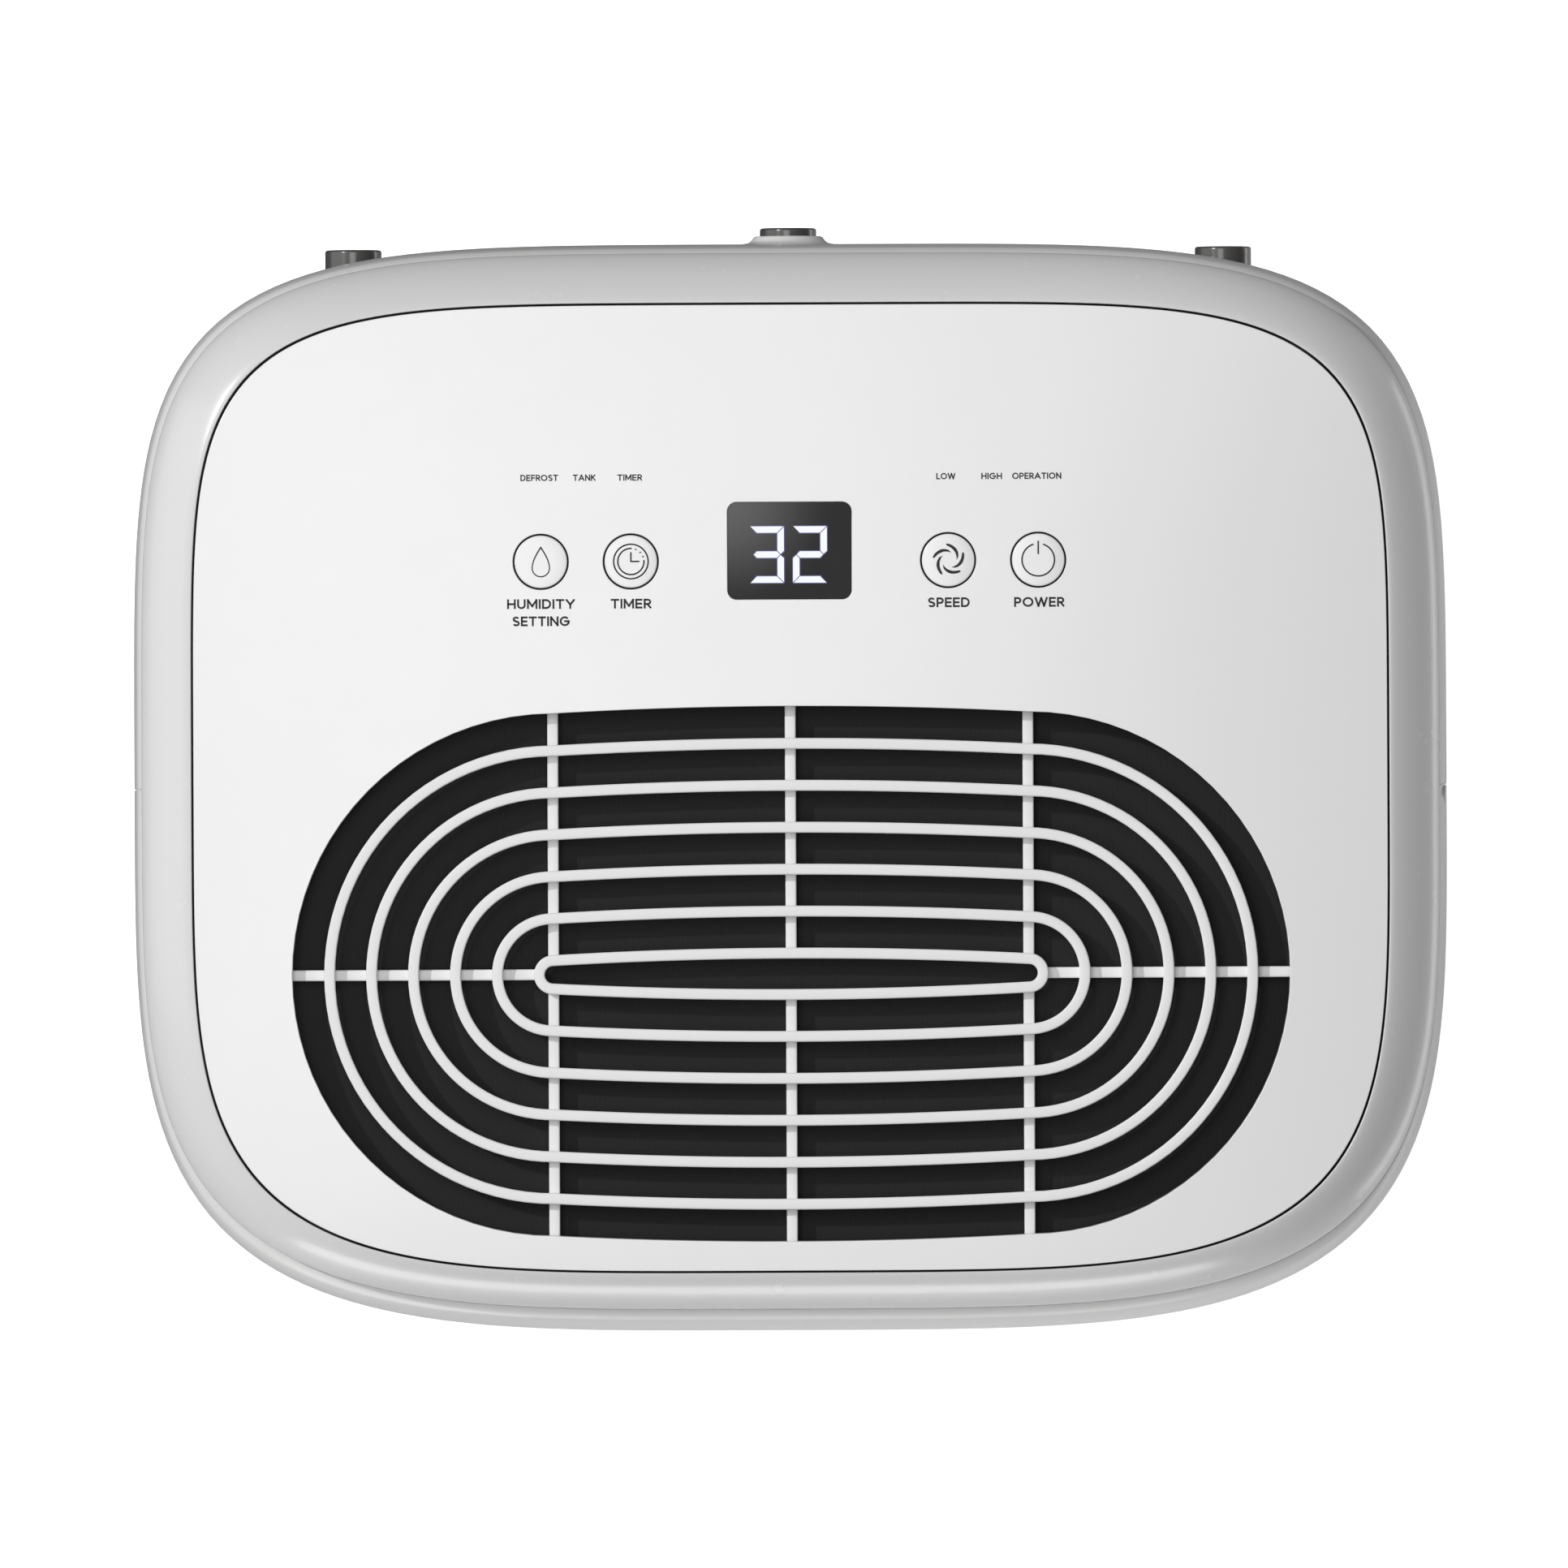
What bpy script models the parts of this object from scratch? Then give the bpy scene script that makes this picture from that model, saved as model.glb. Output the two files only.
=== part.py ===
"""A portable compressor dehumidifier on four castors, with its controls and air outlet on top.

Metres, +Z up. The origin is on the floor under the middle of the casing, the user stands at -Y
and the wall is at +Y. Run it with: blender --background --python part.py
"""

import math

import bmesh
import bpy
from mathutils import Matrix, Vector

# Casing, in plan: (half width, front half depth, rear half depth, front power, rear power)
BODY = (0.1626, 0.1346, 0.1346, 4.0, 4.8)
RING = (0.1603, 0.1288, 0.1320, 4.05, 4.8)
PANEL = (0.1472, 0.1192, 0.1190, 4.4, 5.45)
PAN = (0.1546, 0.1270, 0.1270, 4.0, 4.8)
DECK = (0.1500, 0.1220, 0.1220, 4.0, 4.8)
WALL = 0.0028
SEAM = 0.0005
AROUND = 40
GAP = 0.0003

# Heights
PAN_Z = 0.038
COVER_Z = 0.040
SHOULDER_Z = 0.462
COVER_TOP = 0.4805
EDGE_Z = 0.4954
CROWN = 0.0030
DECK_Z = 0.204
DECK_THICK = 0.003

# Air outlet grille: a stadium with slightly bowed long sides
GRILLE_Y = -0.0460
GRILLE_STRAIGHT = 0.0586
GRILLE_RADIUS = 0.0644
GRILLE_BOW = 0.0016
GRILLE_PITCH = 0.01034
GRILLE_FIRST = 0.0092
RIB = 0.0027
LOOPS = 6
LOOP_TOP = 0.4962
LOOP_DEPTH = 0.0050
BAR_DROP = 0.0035
BAR_DEPTH = 0.0045

# Keys and display
KEY_X = {"humidity": -0.0613, "timer": -0.0391, "speed": 0.0391, "power": 0.0613}
KEY_Y = 0.0558
KEY_RADIUS = 0.0065
KEY_GAP = 0.0004
KEY_TOP = 0.4976
DISPLAY_Y = 0.0583
DISPLAY_SIZE = (0.0304, 0.0238)
DISPLAY_CORNER = 0.0024
BOARD_TOP = 0.4858

# Blower
WHEEL_Z = 0.326
WHEEL_RADIUS = 0.082
BLADES = 16
SCROLL_FRONT = -0.098
SCROLL_REAR = -0.004
SCROLL_TOP = 0.4185

# Heat exchangers
COIL_HALF = 0.112
COIL_Z = (0.222, 0.430)
COIL_DEPTH = 0.020
CORE_DEPTH = 0.0090
FIN_COUNT = 13
FIN_THICK = 0.0020
PASSES = 6
PASS_Z = 0.241
PASS_PITCH = 0.034
TUBE = 0.0032
EVAPORATOR_Y = 0.072
CONDENSER_Y = 0.040

# Compressor
COMPRESSOR = (-0.060, 0.050)
COMPRESSOR_RADIUS = 0.052
SPOUT = (0.032, -0.045)
MOUNT_CIRCLE = 0.062

# Water tank
FASCIA_HALF = 0.118
FASCIA_Z = (0.042, 0.196)
TANK_HALF = 0.113
TANK_REAR = -0.022
TANK_Z = (0.057, 0.192)
TANK_WALL = 0.0025
PULL = (0.096, 0.026, 0.172)

# Rear intake
INTAKE_HALF = 0.112
INTAKE_Z = (0.212, 0.432)
BUMPER_X = 0.1080
BUMPER_Z = 0.450
BUMPER_RADIUS = 0.007
BUMPER_END = {"left": 0.1338, "centre": 0.1388, "right": 0.1338}
DRAIN = (0.095, 0.185)
SPIGOT_END = 0.1354
SPIGOT_RADII = (0.0045, 0.0070)
CAP_RADIUS = 0.0100
GLAND = (-0.100, 0.070)
GLAND_END = 0.1367

# Finger openings in the sides: height, then (half width, half height, corner)
GRIP_Z = 0.395
GRIP_MOUTH = (0.048, 0.017, 0.012)
GRIP_CUP = (0.052, 0.021, 0.015)
GRIP_HOLLOW = (0.0485, 0.0175, 0.0125)
GRIP_BACK = 0.1360
GRIP_FLOOR = 0.1382
GRIP_RIM = 0.1583

# Castors
CASTOR_X = 0.105
CASTOR_Y = 0.082
WHEEL = 0.016
TRAIL = 0.012

for old in list(bpy.data.objects):
    bpy.data.objects.remove(old, do_unlink=True)

PARTS = bpy.data.collections.new("dehumidifier")
CUTTERS = bpy.data.collections.new("cutters")
for folder in (PARTS, CUTTERS):
    bpy.context.scene.collection.children.link(folder)
CUTTERS.hide_render = True


def finish(name, colour, roughness, metallic=0.0):
    """A plain Principled material."""
    made = bpy.data.materials.new(name)
    made.use_nodes = True
    shader = made.node_tree.nodes["Principled BSDF"]
    shader.inputs["Base Color"].default_value = (*colour, 1.0)
    shader.inputs["Roughness"].default_value = roughness
    shader.inputs["Metallic"].default_value = metallic
    made.diffuse_color = (*colour, 1.0)
    return made


WHITE = finish("white_casing", (0.86, 0.86, 0.86), 0.28)
RING_GREY = finish("ring_white", (0.74, 0.74, 0.75), 0.30)
DARK_LENS = finish("dark_lens", (0.04, 0.04, 0.045), 0.12)
BLACK = finish("black_plastic", (0.015, 0.015, 0.016), 0.55)
GREY = finish("grey_plastic", (0.33, 0.34, 0.35), 0.45)
CLEAR = finish("tank_plastic", (0.62, 0.70, 0.74), 0.18)
RUBBER = finish("dark_rubber", (0.05, 0.05, 0.055), 0.40)
FINS = finish("fin_aluminium", (0.78, 0.79, 0.80), 0.35, 1.0)
COPPER = finish("copper", (0.72, 0.40, 0.26), 0.30, 1.0)
STEEL = finish("steel", (0.60, 0.61, 0.62), 0.32, 1.0)
ENAMEL = finish("black_enamel", (0.02, 0.02, 0.022), 0.35)
GREEN = finish("circuit_board", (0.02, 0.16, 0.08), 0.45)
FOAM = finish("float_foam", (0.80, 0.80, 0.78), 0.80)


# ---------------------------------------------------------------- building tools


def add(name, mesh, material=None, folder=None):
    """Links a mesh or a curve as an object."""
    made = bpy.data.objects.new(name, mesh)
    (folder or PARTS).objects.link(made)
    if material:
        made.data.materials.append(material)
    if folder is CUTTERS:
        made.hide_render = True
        made.display_type = "WIRE"
    return made


def from_bmesh(name, shape, material=None, folder=None, smooth=None):
    mesh = bpy.data.meshes.new(name)
    shape.to_mesh(mesh)
    shape.free()
    if smooth:
        mesh.shade_smooth()
        mesh.set_sharp_from_angle(angle=math.radians(smooth))
    return add(name, mesh, material, folder)


def box(name, low, high, material=None, folder=None, bevel=0.0):
    """A block between two corners."""
    low, high = Vector(low), Vector(high)
    shape = bmesh.new()
    bmesh.ops.create_cube(shape, size=1.0)
    size = high - low
    bmesh.ops.scale(shape, vec=size, verts=shape.verts)
    made = from_bmesh(name, shape, material, folder)
    made.location = (low + high) / 2
    if bevel:
        rounding = made.modifiers.new("rounding", "BEVEL")
        rounding.width = bevel
        rounding.segments = 2
    return made


def rod(name, start, end, radius, material=None, folder=None, sides=20, end_radius=None):
    """A cylinder, or a cone, from one point to another."""
    start, end = Vector(start), Vector(end)
    shape = bmesh.new()
    bmesh.ops.create_cone(
        shape,
        cap_ends=True,
        segments=sides,
        radius1=radius,
        radius2=radius if end_radius is None else end_radius,
        depth=(end - start).length,
    )
    made = from_bmesh(name, shape, material, folder, smooth=35)
    made.location = (start + end) / 2
    made.rotation_mode = "QUATERNION"
    made.rotation_quaternion = (end - start).to_track_quat("Z", "Y")
    return made


def turned(name, profile, material, at, along="Z", steps=24, loop=False, folder=None):
    """A profile of (radius, height) points, run down the outer side and turned about its axis."""
    shape = bmesh.new()
    points = [shape.verts.new((radius, 0.0, height)) for radius, height in profile]
    pairs = list(zip(points, points[1:]))
    if loop:
        pairs.append((points[-1], points[0]))
    for pair in pairs:
        shape.edges.new(pair)
    made = from_bmesh(name, shape, material, folder)
    screw = made.modifiers.new("turn", "SCREW")
    screw.steps = steps
    screw.render_steps = steps
    screw.use_merge_vertices = True
    screw.merge_threshold = 0.00001
    screw.use_smooth_shade = False
    made.location = at
    # local +Z is carried onto world +Y or +X
    turn = {"Z": (0, 0, 0), "Y": (-math.pi / 2, 0, 0), "X": (0, math.pi / 2, 0)}
    made.rotation_euler = turn[along]
    return made


def plate(name, outlines, low, high, material=None, folder=None, facing="Z"):
    """A flat plate: the first outline is its edge and the others are holes. It is extruded from
    low to high along its facing axis. Facing Y, an outline holds (x, z); facing X, (y, z)."""
    curve = bpy.data.curves.new(name, "CURVE")
    curve.dimensions = "2D"
    curve.fill_mode = "BOTH"
    curve.extrude = (high - low) / 2
    for outline in outlines:
        spline = curve.splines.new("POLY")
        spline.points.add(len(outline) - 1)
        for point, (u, v) in zip(spline.points, outline):
            point.co = (u, v, 0.0, 1.0)
        spline.use_cyclic_u = True
    holder = bpy.data.objects.new(name + "_outline", curve)
    bpy.context.scene.collection.objects.link(holder)
    middle = (low + high) / 2
    if facing == "Z":
        holder.matrix_world = Matrix.Translation((0, 0, middle))
    elif facing == "Y":
        holder.matrix_world = Matrix(((1, 0, 0, 0), (0, 0, -1, middle), (0, 1, 0, 0), (0, 0, 0, 1)))
    else:
        holder.matrix_world = Matrix(((0, 0, 1, middle), (1, 0, 0, 0), (0, 1, 0, 0), (0, 0, 0, 1)))
    bpy.context.view_layer.update()
    ready = holder.evaluated_get(bpy.context.evaluated_depsgraph_get())
    mesh = bpy.data.meshes.new_from_object(ready)
    shape = bmesh.new()
    shape.from_mesh(mesh)
    bmesh.ops.remove_doubles(shape, verts=shape.verts, dist=0.000005)
    made = from_bmesh(name, shape, material, folder)
    made.matrix_world = holder.matrix_world.copy()
    bpy.data.objects.remove(holder, do_unlink=True)
    return made


def loft(name, rings, material=None, folder=None, around=False, section=False, smooth=35):
    """Quads between rings of points. around closes each ring; section joins the last ring to the first."""
    shape = bmesh.new()
    rows = [[shape.verts.new(point) for point in ring] for ring in rings]
    pairs = list(zip(rows, rows[1:]))
    if section:
        pairs.append((rows[-1], rows[0]))
    count = len(rows[0])
    for first, second in pairs:
        for i in range(count if around else count - 1):
            j = (i + 1) % count
            shape.faces.new((first[i], first[j], second[j], second[i]))
    bmesh.ops.recalc_face_normals(shape, faces=shape.faces)
    return from_bmesh(name, shape, material, folder, smooth=smooth)


def thicken(thing, thickness, inward=True):
    """Gives an open surface a wall."""
    wall = thing.modifiers.new("wall", "SOLIDIFY")
    wall.thickness = thickness
    wall.offset = -1.0 if inward else 1.0
    wall.use_even_offset = True
    return thing


def boolean(thing, other, operation):
    change = thing.modifiers.new(operation.lower(), "BOOLEAN")
    change.operation = operation
    if isinstance(other, bpy.types.Collection):
        change.operand_type = "COLLECTION"
        change.collection = other
    else:
        change.object = other
    return thing


def cut(thing, cutter):
    return boolean(thing, cutter, "DIFFERENCE")


def join(thing, other):
    return boolean(thing, other, "UNION")


def pipe(name, points, radius, material):
    """A round tube along a list of points."""
    curve = bpy.data.curves.new(name, "CURVE")
    curve.dimensions = "3D"
    curve.bevel_depth = radius
    curve.bevel_resolution = 2
    curve.use_fill_caps = True
    spline = curve.splines.new("POLY")
    spline.points.add(len(points) - 1)
    for point, place in zip(spline.points, points):
        point.co = (*place, 1.0)
    return add(name, curve, material)


def round_corners(corners, radius, steps=3):
    """The corners of a bent tube, each replaced by an arc."""
    corners = [Vector(corner) for corner in corners]
    path = [corners[0]]
    for before, corner, after in zip(corners, corners[1:], corners[2:]):
        into, out = (before - corner).normalized(), (after - corner).normalized()
        half = into.angle(out) / 2
        reach = radius / math.tan(half)
        centre = corner + (into + out).normalized() * radius / math.sin(half)
        first, last = corner + into * reach - centre, corner + out * reach - centre
        sweep = first.angle(last)
        for step in range(steps + 1):
            share = step / steps
            arm = (first * math.sin((1 - share) * sweep) + last * math.sin(share * sweep)) / math.sin(sweep)
            path.append(centre + arm)
    path.append(corners[-1])
    return path


# ---------------------------------------------------------------- outlines


def plan(shape, angle):
    """A point of a casing outline: a superellipse whose front and rear halves differ."""
    half_width, front, rear, front_power, rear_power = shape
    c, s = math.cos(angle), math.sin(angle)
    power = rear_power if s >= 0 else front_power
    depth = rear if s >= 0 else front
    x = half_width * math.copysign(abs(c) ** (2 / power), c)
    y = depth * math.copysign(abs(s) ** (2 / power), s)
    return x, y


def inset(shape, distance):
    half_width, front, rear, front_power, rear_power = shape
    return half_width - distance, front - distance, rear - distance, front_power, rear_power


def blend(first, second, share):
    return tuple(a + (b - a) * share for a, b in zip(first, second))


def plan_loop(shape, count=AROUND):
    return [plan(shape, 2 * math.pi * (i + 0.5) / count) for i in range(count)]


def ring(shape, z, count=AROUND):
    return [(x, y, z) for x, y in plan_loop(shape, count)]


def half_ring(shape, z, rear, count=AROUND // 2):
    """The front or the rear half of a ring, stopping short of the seam between the covers."""
    start = 0.0 if rear else math.pi
    edge = SEAM / 2
    points = []
    for i in range(count + 1):
        x, y = plan(shape, start + math.pi * i / count)
        points.append((x, max(y, edge) if rear else min(y, -edge), z))
    return points


def wall_y(shape, x, rear):
    """How far back, or forward, the casing reaches at x."""
    half_width, front, rear_depth, front_power, rear_power = shape
    power = rear_power if rear else front_power
    depth = rear_depth if rear else -front
    return depth * (1 - (abs(x) / half_width) ** power) ** (1 / power)


def wall_strip(half_width, thickness, outer_inset, rear, count=6):
    """Outline of a curved panel set in the front or rear wall."""
    outer, inner = inset(BODY, outer_inset), inset(BODY, outer_inset + thickness)
    xs = [-half_width + 2 * half_width * i / count for i in range(count + 1)]
    return [(x, wall_y(outer, x, rear)) for x in xs] + [(x, wall_y(inner, x, rear)) for x in reversed(xs)]


def rounded(cx, cy, half_w, half_h, radius, per_corner=6):
    """A rectangle with round corners, from the right end of its lower side."""
    corners = ((1, -1, -90), (1, 1, 0), (-1, 1, 90), (-1, -1, 180))
    points = []
    for sx, sy, start in corners:
        for i in range(per_corner):
            turn = math.radians(start + 90 * i / (per_corner - 1))
            x = cx + sx * (half_w - radius) + radius * math.cos(turn)
            y = cy + sy * (half_h - radius) + radius * math.sin(turn)
            points.append((x, y))
    return points


def circle(cx, cy, radius, sides=24):
    return [
        (cx + radius * math.cos(2 * math.pi * i / sides), cy + radius * math.sin(2 * math.pi * i / sides))
        for i in range(sides)
    ]


def stadium(radius, arc_steps=12, side_steps=2):
    """The grille's outline at one end radius: two half circles and two bowed sides."""
    points = []
    for side in (1, -1):
        for i in range(arc_steps):
            turn = math.radians(-90 + 180 * i / arc_steps)
            points.append((side * (GRILLE_STRAIGHT + radius * math.cos(turn)), side * radius * math.sin(turn)))
        for i in range(side_steps):
            share = i / side_steps
            x = GRILLE_STRAIGHT * (1 - 2 * share)
            bow = GRILLE_BOW * (1 - (x / GRILLE_STRAIGHT) ** 2)
            points.append((side * x, side * (radius + bow)))
    return [(x, GRILLE_Y + y) for x, y in points]


# ---------------------------------------------------------------- casing


def cover_levels():
    """(outline, height) of the covers from the foot, up the wall, over the shoulder to the ring."""
    foot = ((COVER_Z, 0.0030), (0.0460, 0.0008), (0.056, 0.0))
    levels = [(inset(BODY, distance), z) for z, distance in foot]
    shoulder = ((SHOULDER_Z, 0.0), (0.4715, 0.14), (0.4775, 0.50), (COVER_TOP, 1.0))
    levels += [(blend(BODY, RING, share), z) for z, share in shoulder]
    return levels


def make_cover(name, rear):
    rings = [half_ring(shape, z, rear) for shape, z in cover_levels()]
    return thicken(loft(name, rings, WHITE), WALL)


def grip_cutter(name, side):
    """The finger opening in a side wall, cut half from each cover."""
    middle, reach = side * 0.1600, 0.012
    return plate(name, [rounded(0.0, GRIP_Z, *GRIP_MOUTH)], middle - reach, middle + reach,
                 folder=CUTTERS, facing="X")


def make_front_cover():
    cover = make_cover("front_cover", rear=False)
    opening = box("tank_opening", (-FASCIA_HALF - 0.0005, -0.150, 0.020),
                  (FASCIA_HALF + 0.0005, -0.095, FASCIA_Z[1] + 0.0006), folder=CUTTERS)
    cut(cover, opening)
    for side in (-1, 1):
        cut(cover, grip_cutter(f"front_grip_cut_{side}", side))


def make_rear_cover():
    cover = make_cover("rear_cover", rear=True)
    boss = rod("bumper_boss", (0, 0.1325, BUMPER_Z), (0, 0.1356, BUMPER_Z), 0.0115,
               folder=CUTTERS, end_radius=0.0086, sides=16)
    join(cover, boss)
    cut(cover, box("intake_opening", (-INTAKE_HALF, 0.110, INTAKE_Z[0]), (INTAKE_HALF, 0.150, INTAKE_Z[1]),
                   folder=CUTTERS))
    for side in (-1, 1):
        cut(cover, grip_cutter(f"rear_grip_cut_{side}", side))
    for x in (-BUMPER_X, 0.0, BUMPER_X):
        cut(cover, rod(f"bumper_hole_{x:.2f}", (x, 0.105, BUMPER_Z), (x, 0.145, BUMPER_Z),
                       BUMPER_RADIUS + 2 * GAP, folder=CUTTERS, sides=16))
    for name, (x, z), radius in (("drain_hole", DRAIN, 0.0085), ("cord_hole", GLAND, 0.0068)):
        cut(cover, rod(name, (x, 0.115, z), (x, 0.145, z), radius, folder=CUTTERS, sides=14))


def make_side_grip(name, side):
    """A cup behind each finger opening."""
    low, high = sorted((side * GRIP_BACK, side * GRIP_RIM))
    cup = plate(name, [rounded(0.0, GRIP_Z, *GRIP_CUP)], low, high, RING_GREY, facing="X")
    low, high = sorted((side * GRIP_FLOOR, side * (GRIP_RIM + 0.0117)))
    cut(cup, plate(name + "_hollow", [rounded(0.0, GRIP_Z, *GRIP_HOLLOW)], low, high,
                   folder=CUTTERS, facing="X"))


def make_top_ring():
    """The sloping rim between the covers and the panel, with a ledge that carries the panel."""
    mouth = inset(PANEL, -0.0005)
    section = (
        (0.00, 0.4810), (0.00, 0.4845), (0.06, 0.4872), (0.22, 0.4902), (0.55, 0.4933),
        (1.00, EDGE_Z - 0.0002), (1.00, 0.4908), (1.35, 0.4908), (1.35, 0.4888), (0.62, 0.4888),
        (0.20, 0.4845), (0.20, 0.4810),
    )
    rings = [ring(blend(RING, mouth, share), z) for share, z in section]
    return loft("top_ring", rings, RING_GREY, around=True, section=True)


def crown_z(share):
    """The panel's height: highest in the middle, down to its edge."""
    return EDGE_Z + CROWN * (1 - share**2)


def make_top_panel():
    skirt = [ring(PANEL, 0.4912), ring(PANEL, EDGE_Z - 0.0006)]
    dome = []
    for share in (0.997, 0.72, 0.36):
        scaled = tuple(size * share for size in PANEL[:3]) + PANEL[3:]
        dome.append(ring(scaled, crown_z(share)))
    panel = loft("top_panel", skirt + dome, WHITE, around=True)
    shape = bmesh.new()
    shape.from_mesh(panel.data)
    open_edges = [edge for edge in shape.edges if edge.is_boundary and edge.verts[0].co.z > EDGE_Z]
    bmesh.ops.contextual_create(shape, geom=open_edges)
    bmesh.ops.recalc_face_normals(shape, faces=shape.faces)
    shape.to_mesh(panel.data)
    shape.free()
    thicken(panel, 0.0025)
    low, high = 0.480, 0.510
    cut(panel, plate("outlet_cut", [stadium(GRILLE_RADIUS)], low, high, folder=CUTTERS))
    half_w, half_h = (size / 2 + GAP for size in DISPLAY_SIZE)
    cut(panel, plate("display_cut", [rounded(0, DISPLAY_Y, half_w, half_h, DISPLAY_CORNER + GAP, 4)],
                     low, high, folder=CUTTERS))
    for key, x in KEY_X.items():
        cut(panel, rod(f"key_cut_{key}", (x, KEY_Y, low), (x, KEY_Y, high), KEY_RADIUS + KEY_GAP,
                       folder=CUTTERS, sides=24))


def make_outlet_grille():
    """Concentric loops on lower cross bars, in a frame that sits under the panel."""
    ribs = bpy.data.collections.new("grille_ribs")
    CUTTERS.children.link(ribs)
    bar_top = LOOP_TOP - BAR_DROP
    bar_low = bar_top - BAR_DEPTH
    frame_top = 0.4922
    frame = plate("outlet_grille", [stadium(GRILLE_RADIUS + 0.0042), stadium(GRILLE_RADIUS)],
                  bar_low, frame_top, WHITE)
    radii = [GRILLE_RADIUS - GRILLE_FIRST - GRILLE_PITCH * i for i in range(LOOPS)]
    for i, radius in enumerate(radii):
        steps = 12 - i
        loop = plate(f"loop_{i + 1}", [stadium(radius + RIB / 2, steps), stadium(radius - RIB / 2, steps)],
                     LOOP_TOP - LOOP_DEPTH, LOOP_TOP, folder=ribs)
        loop.hide_render = True
    reach = GRILLE_RADIUS + 0.003
    core = radii[-1]
    half = RIB / 2
    middle_core = core + GRILLE_BOW
    bars = []
    for x in (-GRILLE_STRAIGHT, 0.0, GRILLE_STRAIGHT):
        start = middle_core if x == 0.0 else core
        end = reach + GRILLE_BOW if x == 0.0 else reach
        bars += [((x - half, start), (x + half, end)), ((x - half, -end), (x + half, -start))]
    side_start, side_end = GRILLE_STRAIGHT + core, GRILLE_STRAIGHT + reach
    bars += [((side_start, -half), (side_end, half)), ((-side_end, -half), (-side_start, half))]
    for i, ((x0, y0), (x1, y1)) in enumerate(bars):
        bar = box(f"bar_{i + 1}", (x0, GRILLE_Y + y0, bar_low + 0.0002), (x1, GRILLE_Y + y1, bar_top),
                  folder=ribs)
        bar.hide_render = True
    join(frame, ribs)


# ---------------------------------------------------------------- controls


def make_controls():
    plate("display_window", [rounded(0, DISPLAY_Y, DISPLAY_SIZE[0] / 2, DISPLAY_SIZE[1] / 2, DISPLAY_CORNER, 4)],
          KEY_TOP - 0.002, KEY_TOP, DARK_LENS)
    box("display_module", (-0.0140, DISPLAY_Y - 0.0105, BOARD_TOP + GAP),
        (0.0140, DISPLAY_Y + 0.0105, KEY_TOP - 0.0024), BLACK)
    board = box("control_board", (-0.090, 0.0340, BOARD_TOP - 0.0016), (0.090, 0.0840, BOARD_TOP), GREEN)
    for px in (-0.084, 0.084):
        for py in (0.040, 0.078):
            join(board, rod(f"board_post_{px}_{py}", (px, py, BOARD_TOP - 0.0006), (px, py, 0.4936), 0.003,
                            folder=CUTTERS, sides=8))
    for key, x in KEY_X.items():
        switch = box(f"switch_{key}", (x - 0.003, KEY_Y - 0.003, BOARD_TOP - 0.0006),
                     (x + 0.003, KEY_Y + 0.003, BOARD_TOP + 0.0028), folder=CUTTERS)
        join(board, switch)
        profile = ((0.0, KEY_TOP), (KEY_RADIUS - 0.0004, KEY_TOP), (KEY_RADIUS, KEY_TOP - 0.0004),
                   (KEY_RADIUS, 0.4942), (0.0078, 0.4942), (0.0078, 0.4926), (0.0020, 0.4926),
                   (0.0020, 0.4894), (0.0, 0.4894))
        turned(f"key_{key}", [(radius, z - KEY_TOP) for radius, z in profile], WHITE, (x, KEY_Y, KEY_TOP),
               steps=20)


# ---------------------------------------------------------------- blower


def scroll_outline(distance, top):
    """The volute in (x, z): out from the tongue round the wheel, then up to the outlet."""
    outlet = 0.115 - distance
    points = [(-outlet, top), ]
    turns = 20
    for i in range(turns + 1):
        angle = math.radians(180 + (405 - 180) * i / turns)
        radius = 0.115 - 0.025 * i / turns - distance
        points.append((radius * math.cos(angle), WHEEL_Z + radius * math.sin(angle)))
    points += [(outlet * 0.75, top - 0.022), (outlet, top - 0.010), (outlet, top)]
    return points


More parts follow.
